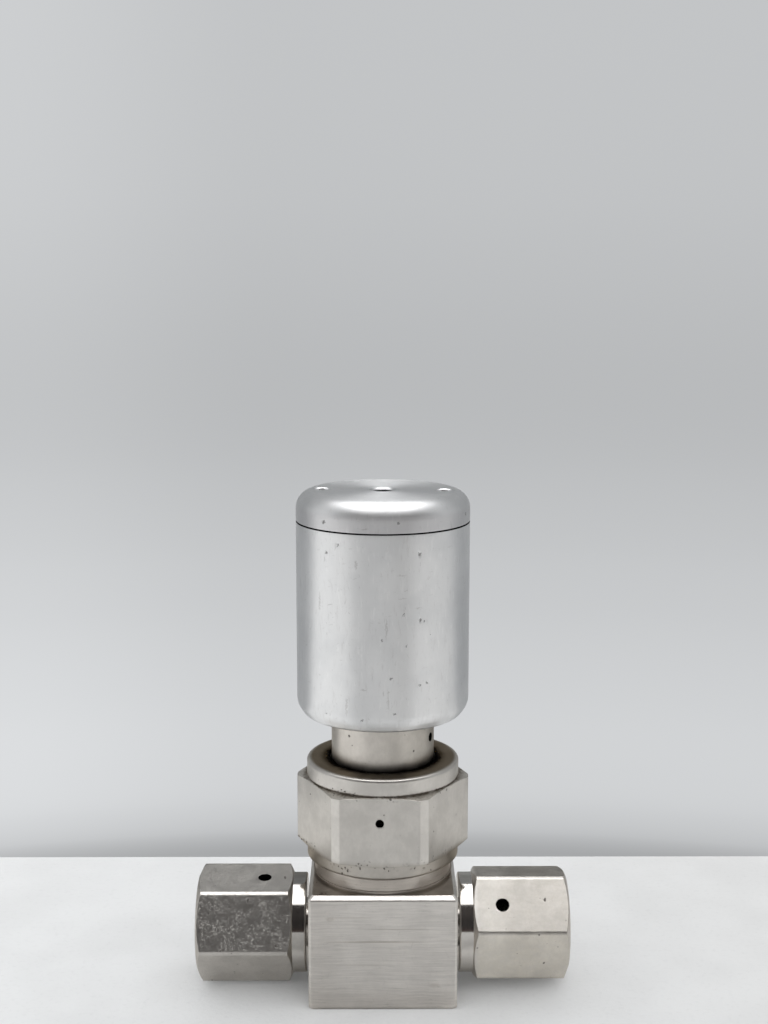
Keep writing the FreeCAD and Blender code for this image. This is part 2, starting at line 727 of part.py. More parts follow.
def piston_nut():
    """The thin hexagon nut that clamps the piston against the rod's flange."""
    body = new_body("piston_nut")
    corner_radius = S.piston_nut_flats / math.sqrt(3)
    ring(body, "blank", S.rod_radius, corner_radius, S.piston_top, S.piston_nut_top)
    mill_hexagon(body, "hexagon", S.piston_nut_flats, corner_radius,
                 S.piston_top, S.piston_nut_top)
    return body


def closing_spring(label, mean_radius, wire_radius, turns):
    """A helical spring between the piston and the spring seat under the cap."""
    body = new_body(label)
    low = S.piston_top + wire_radius + S.spring_gap
    high = S.spring_seat_bottom - wire_radius - S.spring_gap
    sketch = new_sketch(body, "wire_section", "XZ_Plane")
    draw_circle(sketch, mean_radius, low, wire_radius)
    helix = body.newObject("PartDesign::AdditiveHelix", "coil")
    helix.Profile = sketch
    helix.ReferenceAxis = (sketch, ["V_Axis"])
    helix.Mode = "height-turns-angle"
    bind(helix, "Height", high - low)
    bind(helix, "Turns", turns)
    checked(body, helix, cut=False)
    return body


# ---------------------------------------------------------------- the assembly

def build_all():
    parts = [valve_body()]
    for word, side, turned in (("left", -1, S.left_nut_turn), ("right", 1, S.right_nut_turn)):
        parts.append(gland(word + "_gland", side))
        parts.append(union_nut(word + "_union_nut", side, float(turned)))
        parts.append(thrust_ring(word + "_thrust_ring", side))
    parts.append(bonnet_nut())
    parts.append(bonnet())
    parts.append(plain_ring("body_gasket", S.chamber_radius, S.gasket_radius,
                            S.boss_thread_top, S.gasket_top))
    parts.append(plain_ring("bellows_flange", S.bellows_bore, S.bonnet_flange_radius,
                            S.gasket_top, S.bonnet_bottom))
    parts.append(bellows())
    parts.append(plain_ring("bellows_end_ring", S.stem_radius, S.end_ring_radius,
                            S.end_ring_bottom, S.bellows_bottom))
    parts.append(valve_stem())
    parts.append(stem_tip())
    parts.append(plain_ring("stem_guide_bush", S.stem_radius + S.guide_running_gap,
                            S.guide_bore_radius, S.guide_bore_floor, S.guide_top))
    rod_seal_radius = S.stem_radius + S.guide_running_gap + S.seal_section * 2
    parts.append(seal_ring("rod_seal", S.seal_section, rod_seal_radius, S.rod_seal_height))
    parts.append(plain_ring("seal_washer", S.stem_radius + S.guide_running_gap * 2,
                            S.guide_bore_radius, S.seal_washer_bottom, S.spigot_top))
    parts.append(actuator_housing())
    housing_seal_radius = S.spigot_radius + S.seal_section * 2 + 0.02
    parts.append(seal_ring("housing_seal", S.seal_section, housing_seal_radius,
                           S.housing_seal_height))
    parts.append(piston())
    parts.append(seal_ring("piston_seal", S.piston_seal_section, S.band_radius,
                           S.piston_seal_height))
    parts.append(plain_ring("piston_guide_band", S.band_inner_radius, S.band_radius,
                            S.band_bottom, S.band_bottom + S.band_height))
    parts.append(piston_rod())
    parts.append(piston_nut())
    parts.append(plain_ring("stroke_stop", S.rod_radius, S.stop_radius,
                            S.piston_nut_top, S.hub_bottom - S.stroke))
    parts.append(closing_spring("closing_spring_outer", S.outer_spring_radius,
                                S.outer_spring_wire, S.outer_spring_turns))
    parts.append(closing_spring("closing_spring_inner", S.inner_spring_radius,
                                S.inner_spring_wire, S.inner_spring_turns))
    parts.append(plain_ring("spring_seat", S.spring_seat_bore, S.spring_seat_radius,
                            S.spring_seat_bottom, S.cap_underside))
    parts.append(actuator_cap())
    parts.append(seal_ring("cap_seal", S.seal_section, S.cap_skirt_radius, S.cap_seal_height))
    hub_seal_radius = S.hub_bore_radius + S.seal_section * 2
    parts.append(seal_ring("cap_rod_seal", S.seal_section, hub_seal_radius,
                           S.cap_rod_seal_height))
    return parts


def export_all(parts):
    """Check every object and every shape, then write one STEP file for each part."""
    DOC.recompute()
    for item in DOC.Objects:
        if "Invalid" in item.State or "Error" in item.State:
            raise RuntimeError(f"{item.Name} did not build: {item.State}")
    for part in parts:
        shape = part.Shape
        if shape.isNull() or not shape.isValid() or len(shape.Solids) != 1:
            raise RuntimeError(f"{part.Label} is not one valid solid")
    os.makedirs("parts", exist_ok=True)
    for part in parts:
        part.Shape.exportStep(f"parts/{part.Label}.step")
        box = part.Shape.BoundBox
        print(f"{part.Label}: {part.Shape.Volume:.1f} mm3, z {box.ZMin:.2f} to {box.ZMax:.2f}")


export_all(build_all())
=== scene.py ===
"""The looks of the air-operated, bellows-sealed needle valve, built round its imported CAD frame.

The pieces that show are remade as fine, softly worn shells. Each is cut with its CAD piece, so bores,
ports, threads and inner rooms stay the CAD ones. The pieces inside keep their CAD shape and get a finish.
Shapes are worked out in millimetres and written in metres.
"""
import math

import bmesh
import bpy
import numpy as np
from mathutils import Matrix, Vector


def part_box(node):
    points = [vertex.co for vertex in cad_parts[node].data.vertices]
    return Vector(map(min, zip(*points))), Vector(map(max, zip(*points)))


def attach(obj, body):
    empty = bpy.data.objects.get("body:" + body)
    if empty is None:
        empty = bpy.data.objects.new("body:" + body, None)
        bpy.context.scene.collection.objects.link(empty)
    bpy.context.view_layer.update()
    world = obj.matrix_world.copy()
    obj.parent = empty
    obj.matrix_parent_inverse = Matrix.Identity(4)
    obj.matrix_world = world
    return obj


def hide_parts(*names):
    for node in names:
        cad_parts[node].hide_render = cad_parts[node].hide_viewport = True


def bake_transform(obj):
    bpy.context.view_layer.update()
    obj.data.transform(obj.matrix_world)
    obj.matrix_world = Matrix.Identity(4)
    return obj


MM = 0.001
FRONT = -math.pi / 2

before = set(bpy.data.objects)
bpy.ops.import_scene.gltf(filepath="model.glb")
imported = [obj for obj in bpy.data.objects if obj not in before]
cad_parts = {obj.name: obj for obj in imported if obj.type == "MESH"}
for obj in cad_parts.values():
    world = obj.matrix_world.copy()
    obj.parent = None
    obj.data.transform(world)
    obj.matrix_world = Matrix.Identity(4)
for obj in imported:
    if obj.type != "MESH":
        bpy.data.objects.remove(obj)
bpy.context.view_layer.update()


def box_mm(node):
    """The lowest and highest corners of a CAD node in millimetres."""
    low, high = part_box(node)
    return np.array(low) / MM, np.array(high) / MM


# Sizes in millimetres, from the CAD boxes wherever a box gives them
INSET = 0.02  # how far a shell stays inside the CAD surface that it replaces
SOFT_EDGE = 0.05
WELD_REACH = 0.0002 * MM
SHARP_ANGLE = math.radians(32)

BLOCK_LOW, BLOCK_HIGH = box_mm("valve_body")
BLOCK_HALF = BLOCK_HIGH[0] - INSET
BLOCK_TOP = 21.8
BLOCK_TOP_CHAMFER = 0.7
BLOCK_SIDE_CHAMFER = 0.45
BLOCK_FOOT_CHAMFER = 0.3
BOSS_FOOT = 12.5
BOSS_RING = (22.3, 22.45)
BOSS_RING_RADIUS = 13.05
BOSS_RADIUS = 12.75

NUT_LOW, NUT_HIGH = box_mm("bonnet_nut")
NUT_FLAT = 28.58 / 2
NUT_COLLAR = 14.15
NUT_TURNED = 16.0
NUT_HEX = (28.2, 40.25)
NUT_CONES = (27.65, 40.75)
NUT_RIM = 0.6
NUT_NICK = 0.12
NECK_RADIUS = 9.525
VENT_HEIGHT = 48.7
VENT_RADIUS = 0.85
VENT_TURN = 67.0
NUT_TURN = -2.4
LEAK_PORT_HEIGHT = 35.9
LEAK_PORT_RADIUS = 0.78

HOUSING_LOW, HOUSING_HIGH = box_mm("actuator_housing")
HOUSING_RADIUS = HOUSING_HIGH[0]
HOUSING_CONE_WIDTH = 1.4
HOUSING_CONE_HEIGHT = 2.1
SEAM = 88.7
SEAM_CHAMFER = 0.05
SEAM_SLOT_HALF = 0.11
SEAM_SLOT_DEPTH = 1.0

CAP_LOW, CAP_HIGH = box_mm("actuator_cap")
CAP_FILLET = 3.2
CAP_TURN = -4.0
CAP_PORT_RIM = 2.3
SPANNER_HOLE_PLACE = 11.2
SPANNER_HOLE_RADIUS = 1.45
SPANNER_HOLE_MOUTH = 1.7
SPANNER_HOLE_SINK = 0.25

UNION_LOW, UNION_HIGH = box_mm("right_union_nut")
UNION_AXIS = 11.0
UNION_FLAT = 19.05 / 2
UNION_COLLAR = 9.25
UNION_TURNED = 10.8
UNION_SHOULDER = 16.82
UNION_BACK_CONE = 0.75
UNION_MOUTH_CONE = 0.9
UNION_MOUTH_RADIUS = 8.9
UNION_TURN = {"left": -8.0, "right": 48.0}
SIDES = {"left": -1, "right": 1}
TEST_PORT_PLACE = 22.2
TEST_PORT_RADIUS = 1.2


# Shells

def cut_evenly(start, end, step):
    """Points after start, up to and with end, no more than step apart."""
    count = max(1, math.ceil(np.linalg.norm(end - start) / step))
    return [start + (end - start) * k / count for k in range(1, count + 1)]


def rounded(corners):
    """The points of an outline. A corner is radius, height, the radius of its arc, and the step up to it."""
    arc_step = math.radians(12)
    places = [np.array(corner[:2]) for corner in corners]
    points = [places[0]]
    for k in range(1, len(corners)):
        here, (arc_radius, step) = places[k], corners[k][2:]
        if arc_radius == 0 or k == len(corners) - 1:
            points += cut_evenly(points[-1], here, step)
            continue
        back = (places[k - 1] - here) / np.linalg.norm(places[k - 1] - here)
        on = (places[k + 1] - here) / np.linalg.norm(places[k + 1] - here)
        half = math.acos(float(back @ on)) / 2
        middle = here + (back + on) / np.linalg.norm(back + on) * arc_radius / math.sin(half)
        first = here + back * arc_radius / math.tan(half)
        last = here + on * arc_radius / math.tan(half)
        points += cut_evenly(points[-1], first, step)
        sweep = math.pi - 2 * half
        count = max(2, math.ceil(sweep / arc_step))
        for j in range(1, count + 1):
            share = j / count
            weight_first = math.sin((1 - share) * sweep) / math.sin(sweep)
            weight_last = math.sin(share * sweep) / math.sin(sweep)
            points.append(middle + (first - middle) * weight_first + (last - middle) * weight_last)
    return np.array(points)


def refined(low, high, step, fine_places, reach, fine_step):
    """Sorted numbers from low to high, a step apart, and a fine step apart near the given places."""
    numbers = list(np.arange(low, high, step))
    for place in fine_places:
        near = np.arange(place - reach, place + reach + fine_step / 2, fine_step)
        numbers = [n for n in numbers if abs(n - place) > reach] + list(near)
    numbers = sorted(n for n in numbers if low <= n < high)
    kept = [numbers[0]]
    for number in numbers[1:]:
        if number - kept[-1] > fine_step * 0.5:
            kept.append(number)
    return np.array(kept)


def soft_min(first, second, width):
    """The smaller number, blended where the two are within width of each other."""
    near = np.maximum(width - np.abs(first - second), 0) / width
    return np.minimum(first, second) - near * near * width / 4


def flats(angle, count, distance, turn):
    """The radius, at each angle, of a prism with this many flats at this distance from its axis."""
    sector = 2 * math.pi / count
    away = (angle - turn + sector / 2) % sector - sector / 2
    return distance / np.cos(away)


def dented(radius, angle, height, dents):
    """The radii, pushed in round each dent: its angle, height, half width, half height and depth."""
    for dent_angle, dent_height, half_width, half_height, depth in dents:
        turn = (angle - math.radians(dent_angle) + math.pi) % (2 * math.pi) - math.pi
        across = turn * radius / half_width
        along = (height - dent_height) / half_height
        radius = radius - depth * np.exp(-(across**2 + along**2))
    return radius


def weld(mesh):
    """Joins the points of a mesh that lie together, and drops the faces that this closes up."""
    work = bmesh.new()
    work.from_mesh(mesh)
    bmesh.ops.remove_doubles(work, verts=work.verts, dist=WELD_REACH)
    bmesh.ops.dissolve_degenerate(work, edges=work.edges, dist=WELD_REACH)
    bmesh.ops.recalc_face_normals(work, faces=work.faces)
    work.to_mesh(mesh)
    work.free()


def new_object(name, data):
    """A new object, linked into the scene."""
    made = bpy.data.objects.new(name, data)
    bpy.context.scene.collection.objects.link(made)
    return made


def shell(name, outline, angles, radius_of, placed):
    """A closed shell. Its outline runs from axis to axis, radius_of shapes it, and placed sets it down."""
    radius = outline[1:-1, 0][:, None] + 0 * angles[None, :]
    height = outline[1:-1, 1][:, None] + 0 * angles[None, :]
    turn = angles[None, :] + 0 * radius
    radius = radius_of(radius, turn, height)
    rows, columns = radius.shape
    around = np.stack([radius * np.cos(turn), radius * np.sin(turn), height], axis=-1).reshape(-1, 3)
    ends = np.array([[0, 0, outline[0][1]], [0, 0, outline[-1][1]]])
    points = np.concatenate([around, ends])
    here = np.arange((rows - 1) * columns).reshape(rows - 1, columns)
    beside = np.roll(here, -1, axis=1)
    walls = np.stack([here, beside, beside + columns, here + columns], axis=-1).reshape(-1, 4)
    rim = np.arange(columns)
    rim_on = np.roll(rim, -1)
    last = (rows - 1) * columns
    foot = [(int(b), int(a), rows * columns) for a, b in zip(rim, rim_on)]
    head = [(int(a) + last, int(b) + last, rows * columns + 1) for a, b in zip(rim, rim_on)]
    mesh = bpy.data.meshes.new(name)
    mesh.from_pydata((placed(points) * MM).tolist(), [], walls.tolist() + foot + head)
    weld(mesh)
    return new_object(name, mesh)


def standing(points):
    """The valve's own axis: the outline's height runs up Z."""
    return points


def lying(side):
    """An end nut's axis: the outline's height runs out along X, and angle 0 points up."""
    def placed(points):
        across, up, along = points[:, 1], points[:, 0], points[:, 2]
        return np.stack([side * along, -side * across, up + UNION_AXIS], axis=-1)
    return placed


def cad_copy(node):
    """A closed copy of a CAD node, to cut with."""
    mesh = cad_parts[node].data.copy()
    weld(mesh)
    return new_object(node + "_cutter", mesh)


def combine(base, other, operation):
    """Leaves in base what the operation makes of it and the other object, and removes the other."""
    modifier = base.modifiers.new("cut", "BOOLEAN")
    modifier.operation = operation
    modifier.solver = "MANIFOLD"
    modifier.object = other
    graph = bpy.context.evaluated_depsgraph_get()
    mesh = bpy.data.meshes.new_from_object(base.evaluated_get(graph), depsgraph=graph)
    base.modifiers.clear()
    base.data = mesh
    bpy.data.objects.remove(other)


def countersink(point, radius, mouth, depth):
    """A closed cone, wide end up, that opens the rim of a hole in a level face. Sizes are in millimetres."""
    slope = (mouth - radius) / depth
    work = bmesh.new()
    bmesh.ops.create_cone(
        work, cap_ends=True, segments=64, radius1=(radius - slope * depth) * MM,
        radius2=(mouth + slope * depth) * MM, depth=3 * depth * MM,
        matrix=Matrix.Translation(Vector((point[0], point[1], point[2] - depth / 2)) * MM),
    )
    mesh = bpy.data.meshes.new("countersink")
    work.to_mesh(mesh)
    work.free()
    return new_object("countersink", mesh)


def stand_in(piece, node, slot):
    """Puts a piece in a CAD node's place, with the finish of its slot."""
    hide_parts(node)
    piece.data.materials.clear()
    piece.data.materials.append(MATERIALS[slot])


def round_piece(node, body, slot, outline, angles, radius_of, placed=standing, cones=()):
    """Makes a shell, cuts it with the cones and with its CAD node, and puts it in the node's place."""
    piece = shell(node + "_shell", outline, angles, radius_of, placed)
    for cone in cones:
        combine(piece, cone, "DIFFERENCE")
    combine(piece, cad_copy(node), "INTERSECT")
    weld(piece.data)
    piece.data.shade_smooth()
    piece.data.set_sharp_from_angle(angle=SHARP_ANGLE)
    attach(piece, body)
    stand_in(piece, node, slot)


# Finishes

class Tree:
    """Writes a node tree: each method adds a node and gives the socket that comes out of it."""

    def __init__(self, owner):
        owner.use_nodes = True
        self.nodes = owner.node_tree.nodes
        self.links = owner.node_tree.links
        self.nodes.clear()

    def add(self, kind, inputs, output=0, **settings):
        node = self.nodes.new(kind)
        for name, value in settings.items():
            setattr(node, name, value)
        for place, value in inputs.items():
            if isinstance(value, bpy.types.NodeSocket):
                self.links.new(value, node.inputs[place])
            else:
                node.inputs[place].default_value = value
        return node.outputs[output] if output is not None else None

    def math(self, operation, *values):
        return self.add("ShaderNodeMath", dict(enumerate(values)), operation=operation)

    def times(self, first, second):
        return self.math("MULTIPLY", first, second)

    def plus(self, first, second):
        return self.math("ADD", first, second)

    def minus(self, first, second):
        return self.math("SUBTRACT", first, second)

    def most(self, first, *others):
        """The largest of several numbers."""
        for other in others:
            first = self.math("MAXIMUM", first, other)
        return first

    def vector(self, operation, *values, output=0):
        return self.add("ShaderNodeVectorMath", dict(enumerate(values)), output, operation=operation)

    def scaled(self, vector, scales):
        return self.vector("MULTIPLY", vector, scales)

    def parts(self, vector):
        node = self.nodes.new("ShaderNodeSeparateXYZ")
        self.links.new(vector, node.inputs[0])
        return node.outputs[:3]

    def joined(self, x, y, z):
        return self.add("ShaderNodeCombineXYZ", {0: x, 1: y, 2: z})

    def between(self, value, low, high, to_low=0.0, to_high=1.0, smooth=True):
        """Goes from to_low to to_high as value goes from low to high, and stays there beyond."""
        kind = "SMOOTHSTEP" if smooth else "LINEAR"
        inputs = {0: value, 1: low, 2: high, 3: to_low, 4: to_high}
        return self.add("ShaderNodeMapRange", inputs, interpolation_type=kind)

    def falling(self, value, low, high):
        """1 up to low, and 0 from high on."""
        return self.between(value, low, high, 1.0, 0.0)

    def window(self, value, start, full, fade, end):
        """Rises to 1 as value goes from start to full, and falls back to 0 from fade to end."""
        rise = self.between(value, start, full)
        return self.times(rise, self.falling(value, fade, end))

    def close_to(self, value, place, inside, outside):
        """1 where value is within inside of a place, fading to 0 at outside."""
        away = self.math("ABSOLUTE", self.minus(value, place))
        return self.falling(away, inside, outside)

    def mix(self, share, first, second):
        inputs = {0: share, 6: rgba(first), 7: rgba(second)}
        return self.add("ShaderNodeMix", inputs, output=2, data_type="RGBA")

    def tinted(self, colour, amount, tone):
        """The colour, multiplied by the tone as far as the amount goes."""
        inputs = {0: amount, 6: colour, 7: rgba(tone)}
        return self.add("ShaderNodeMix", inputs, output=2, data_type="RGBA", blend_type="MULTIPLY")

    def ramp(self, value, stops):
        """A grey level that follows the stops, each a value and its level."""
        low, high = stops[0][0], stops[-1][0]
        node = self.nodes.new("ShaderNodeValToRGB")
        self.links.new(self.between(value, low, high, smooth=False), node.inputs[0])
        elements = node.color_ramp.elements
        node.color_ramp.interpolation = "CARDINAL"
        elements[0].color = rgba((stops[0][1],) * 3)
        elements[1].color = rgba((stops[-1][1],) * 3)
        for place, level in stops[1:-1]:
            elements.new((place - low) / (high - low)).color = rgba((level,) * 3)
        return node.outputs[0]

    def noise(self, vector, scale, detail=2.0, roughness=0.5, output=0):
        inputs = {"Vector": vector, "Scale": scale, "Detail": detail, "Roughness": roughness}
        return self.add("ShaderNodeTexNoise", inputs, output)

    def relief(self, height, depth, strength=1.0):
        """A surface direction that follows a height from 0 to 1, depth millimetres deep."""
        return self.add("ShaderNodeBump", {"Strength": strength, "Distance": depth * MM, "Height": height})

    def place(self):
        """Where the shaded point is in the piece's own frame, in millimetres."""
        here = self.add("ShaderNodeTexCoord", {}, "Object")
        return self.vector("MULTIPLY", here, (1 / MM,) * 3)

    def finish(self, **inputs):
        """Ends the tree in a shader. Its inputs are named in small letters with underscores."""
        named = {name.replace("_", " ").title(): value for name, value in inputs.items()}
        surface = self.add("ShaderNodeBsdfPrincipled", named)
        self.add("ShaderNodeOutputMaterial", {"Surface": surface}, output=None)


def rgba(colour):
    """A colour as a socket takes it."""
    if isinstance(colour, bpy.types.NodeSocket) or len(colour) == 4:
        return colour
    return (*colour, 1.0)


def shaded(colour, amount):
    """A colour made lighter or darker."""
    return tuple(c * amount for c in colour)


def specks(tree, place, spacing, size, share):
    """1 in small pits. Spacing and size are in millimetres, and share is how many places hold a pit."""
    spots = tree.add("ShaderNodeTexVoronoi", {"Vector": place, "Scale": 1 / spacing}, "Color")
    chance, spread, _ = tree.parts(spots)
    held = tree.math("LESS_THAN", chance, share)
    edge = tree.times(spread, size / spacing)
    inside = tree.math("LESS_THAN", spots.node.outputs["Distance"], edge)
    return tree.times(inside, held)


def wavering(tree, place, amount):
    """The place, pushed about by up to half the amount, so that marks get uneven edges."""
    push = tree.vector("SUBTRACT", tree.noise(place, 3.0, output="Color"), (0.5, 0.5, 0.5))
    return tree.vector("ADD", place, tree.scaled(push, (amount,) * 3))


def mark(tree, place, centre, reach):
    """1 at a place, fading to 0 at its reach: one radius, or one along each of X, Y and Z."""
    reach = reach if isinstance(reach, tuple) else (reach,) * 3
    off = tree.scaled(tree.vector("SUBTRACT", place, centre), tuple(1 / r for r in reach))
    away = tree.vector("LENGTH", off, output=1)
    return tree.falling(away, 0.45, 1.0)


def port_depth(tree, place, point, direction, radius, start):
    """1 on the walls of a port, from start millimetres under its mouth, where painted shade goes. The port
    runs in along direction.
    """
    off = tree.vector("SUBTRACT", place, point)
    aside = tree.vector("LENGTH", tree.vector("CROSS_PRODUCT", off, direction), output=1)
    inside = tree.falling(aside, radius * 1.03, radius * 1.08)
    sunk = tree.vector("DOT_PRODUCT", off, direction, output=1)
    return tree.times(inside, tree.between(sunk, start, start + 0.2))


# How metallic scuffed steel is, the tint of a glancing view, and how rough a polished collar is
SCUFFED_METALLIC = 0.66
GLANCING_TINT = 1.6
POLISHED_ROUGHNESS = 0.11
SCUFF_RADIUS = 9.5  # turns an angle round a nut into millimetres along its flats


def metal(tree, colour, roughness, bump, depth, anisotropy=0.0, coat=0.0, dull=None):
    """Ends a tree in bare metal. Bump is a height from 0 to 1, and depth its size in millimetres.

    Dull, a socket, is 1 where scuffs scatter the light and 0 where the metal is clean.
    """
    inputs = {"metallic": tree.between(dull, 0, 1, 1.0, SCUFFED_METALLIC, False) if dull else 1.0}
    if anisotropy:
        inputs["tangent"] = tree.add("ShaderNodeTangent", {}, direction_type="RADIAL", axis="Z")
    tree.finish(
        base_color=colour, specular_tint=tree.scaled(colour, (GLANCING_TINT,) * 3), roughness=roughness,
        normal=tree.relief(bump, depth), anisotropic=anisotropy, anisotropic_rotation=0.25,
        coat_weight=coat, coat_roughness=0.2, **inputs,
    )


def new_tree(name):
    """A new material and its empty tree."""
    material = bpy.data.materials.new(name)
    MATERIALS[name] = material
    return Tree(material)


MATERIALS = {}

STEEL = (0.655, 0.63, 0.60)
WARM_STEEL = (0.615, 0.593, 0.56)
NECK_STEEL = (0.635, 0.60, 0.555)
SPRING_STEEL = (0.35, 0.34, 0.33)
BRONZE = (0.62, 0.42, 0.22)
ALUMINIUM = ((0.735, 0.742, 0.75), (0.80, 0.805, 0.81))
RUBBED_BRIGHT = (0.92, 0.92, 0.92)
HANDLED_GREY = (0.60, 0.59, 0.59)
FAINT_GREY = (0.42, 0.41, 0.40)
PIT_GREY = (0.18, 0.175, 0.17)
PIT_BROWN = (0.07, 0.06, 0.055)
SHADOW = (0.02, 0.02, 0.02)
PAINTED_PORT_SHADE = (0.004, 0.004, 0.004)
PAINTED_BAND_SHADE = (0.88, 0.87, 0.875)


def turned_vector(tree, place, axis, centre, fine, slow):
    """Coordinates in which noise becomes turning marks, and the place as two distances and a turn."""
    x, y, z = tree.parts(tree.vector("SUBTRACT", place, centre))
    along, (first, second) = (z, (x, y)) if axis == "Z" else (x, (z, y))
    squares = [tree.times(value, value) for value in (first, second)]
    out = tree.math("SQRT", tree.plus(*squares))
    turn = tree.math("ARCTAN2", second, first)
    scales = ((out, fine), (along, fine), (turn, slow))
    marks = tree.joined(*[tree.times(value, scale) for value, scale in scales])
    return marks, out, along, turn


def streaked(tree, along, around, lean, fine, slow):
    """Noise in streaks. They lean by so many degrees from the first direction towards the second."""
    lean = math.radians(lean)
    spread = tree.joined(along, around, 0.0)
    down = tree.vector("DOT_PRODUCT", spread, (math.cos(lean), math.sin(lean), 0.0), output=1)
    over = tree.vector("DOT_PRODUCT", spread, (-math.sin(lean), math.cos(lean), 0.0), output=1)
    drawn = tree.joined(tree.times(down, slow), tree.times(over, fine), lean * 9)
    return tree.noise(drawn, 1.0, 3.0, 0.6)


def scuffs(tree, place, along, around, leans, fine, slow, low, high):
    """1 in short, crossing scuffs, which gather in some places."""
    bent = [tree.plus(value, tree.noise(place, 0.7)) for value in (along, around)]
    streaks = tree.most(*[streaked(tree, *bent, lean, fine, slow) for lean in leans])
    patches = tree.between(tree.noise(place, 0.35), 0.35, 0.6, 0.35, 1.0)
    return tree.times(tree.between(streaks, low, high), patches)


def aluminium(name, pits, streaks, roughness, anisotropy):
    """Turned, clear-anodised aluminium with a few pits and faint handling marks."""
    tree = new_tree(name)
    place = tree.place()
    marks, out, along, turn = turned_vector(tree, place, "Z", (0, 0, 0), 7.0, 1.5)
    lines = tree.noise(marks, 1.0, 3.0, 0.7)
    clouds = tree.noise(place, 0.12, 3.0)
    rubbed = tree.noise(tree.scaled(place, (1.4, 1.4, 0.3)), 1.0, 4.0, 0.65)
    around = tree.times(turn, HOUSING_RADIUS)
    nicks = scuffs(tree, place, along, around, (4, -14, 84), 3.4, 0.55, 0.665, 0.74)
    nicks = tree.times(nicks, tree.between(out, HOUSING_RADIUS - 2.5, HOUSING_RADIUS - 1.5))
    dirt = specks(tree, place, 2.6, 0.12, 0.2)
    uneven = wavering(tree, place, 0.9)
    holes = tree.most(dirt, *[mark(tree, uneven, *pit) for pit in pits])
    faint = tree.most(nicks, *[mark(tree, uneven, *streak) for streak in streaks])
    shade = tree.mix(tree.between(clouds, 0.35, 0.65), *ALUMINIUM)
    shade = tree.mix(tree.between(rubbed, 0.55, 0.75, 0.0, 0.45), shade, RUBBED_BRIGHT)
    shade = tree.mix(tree.between(rubbed, 0.25, 0.45, 0.4, 0.0), shade, HANDLED_GREY)
    shade = tree.mix(tree.times(faint, 0.4), shade, FAINT_GREY)
    shade = tree.mix(tree.times(holes, 0.62), shade, PIT_GREY)
    slot = tree.close_to(along, SEAM, SEAM_SLOT_HALF + 0.02, SEAM_SLOT_HALF + 0.06)
    shade = tree.mix(slot, shade, SHADOW)
    # Painted shade: a band of the cap just above the seam is made a little darker.
    band = tree.window(along, SEAM, SEAM + 0.1, SEAM + 2.2, SEAM + 3.4)
    shade = tree.tinted(shade, band, PAINTED_BAND_SHADE)
    in_port = tree.falling(out, CAP_PORT_RIM, CAP_PORT_RIM + 0.1)
    under_rim = tree.falling(along, CAP_HIGH[2] - 0.5, CAP_HIGH[2] - 0.4)
    shade = tree.mix(tree.times(in_port, under_rim), shade, SHADOW)
    rough = tree.between(lines, 0.3, 0.7, roughness - 0.05, roughness + 0.05, False)
    rough = tree.plus(rough, tree.times(holes, 0.3))
    height = tree.minus(tree.times(lines, 0.12), tree.most(holes, nicks))
    metal(tree, shade, rough, height, 0.03, anisotropy, 0.1)


def scuffed(tree, place, along, turn, amount):
    """How scuffed a nut is: scratches that cross and a fine grain, both gathered in places."""
    around = tree.times(turn, SCUFF_RADIUS)
    scratches = scuffs(tree, place, along, around, (28, 62, -50), 4.2, 1.6, 0.56, 0.67)
    grain = tree.between(tree.noise(place, 4.8, 1.0), 0.52, 0.62)
    patches = tree.between(tree.noise(place, 0.35), 0.35, 0.6, 0.3, 1.0)
    grain = tree.times(grain, patches)
    both = tree.most(tree.times(scratches, 0.25), grain)
    return tree.times(both, amount)


def machined_steel(
    name, axis, centre, colour, pits, ports, stains_and_shading, gathered=None, polished=None, scuffing=None
):
    """Turned and milled steel. Pits crowd where gathered is 1, and polished is where a bright collar ends."""
    tree = new_tree(name)
    place = tree.place()
    marks, _, along, turn = turned_vector(tree, place, axis, centre, 5.0, 1.0)
    lines = tree.noise(marks, 1.0, 3.0, 0.7)
    clouds = tree.noise(place, 0.25, 3.0, 0.6)
    fine_clouds = tree.noise(tree.scaled(place, (1.8, 1.8, 1.0)), 1.0, 5.0, 0.7)
    clusters = tree.between(tree.noise(place, 0.3, 1.0), 0.56, 0.7)
    crowded = tree.times(specks(tree, place, 0.75, 0.2, 0.35), clusters)
    uneven = wavering(tree, place, 0.5)
    single = [mark(tree, uneven, *pit) for pit in pits]
    holes = tree.most(crowded, specks(tree, place, 2.4, 0.16, 0.2), *single)
    if gathered:
        small = specks(tree, uneven, 0.6, 0.3, 0.7)
        holes = tree.most(holes, tree.times(small, gathered(tree, place)))
    dull = scuffed(tree, place, along, turn, scuffing) if scuffing else None
    shade = tree.mix(tree.between(clouds, 0.35, 0.65), shaded(colour, 0.93), shaded(colour, 1.05))
    shade = tree.mix(tree.between(fine_clouds, 0.35, 0.7, 0.0, 0.3), shade, shaded(colour, 0.85))
    # Each entry multiplies the colour by its tone: real stains, and painted light and shade.
    for stain_and_shade, tone in stains_and_shading:
        shade = tree.tinted(shade, stain_and_shade(tree, place), tone)
    shade = tree.mix(tree.times(holes, 0.8), shade, PIT_BROWN)
    # Painted shade: the walls of the ports are made black, for the shade deep inside them.
    depth = tree.most(*[port_depth(tree, place, *port) for port in ports])
    shade = tree.mix(depth, shade, PAINTED_PORT_SHADE)
    rough = tree.between(fine_clouds, 0.3, 0.7, 0.27, 0.37, False)
    marred = tree.most(holes, dull) if dull else holes
    rough = tree.plus(rough, tree.times(marred, 0.3))
    height = tree.math("MULTIPLY_ADD", fine_clouds, 0.3, tree.times(lines, 0.1))
    height = tree.minus(height, holes)
    if polished:
        satin = tree.between(tree.math("ABSOLUTE", along), *polished)
        rougher = tree.minus(rough, POLISHED_ROUGHNESS)
        rough = tree.math("MULTIPLY_ADD", rougher, satin, POLISHED_ROUGHNESS)
        height = tree.times(height, satin)
        dull = tree.times(dull, satin) if dull else None
    metal(tree, shade, rough, height, 0.03, dull=dull)


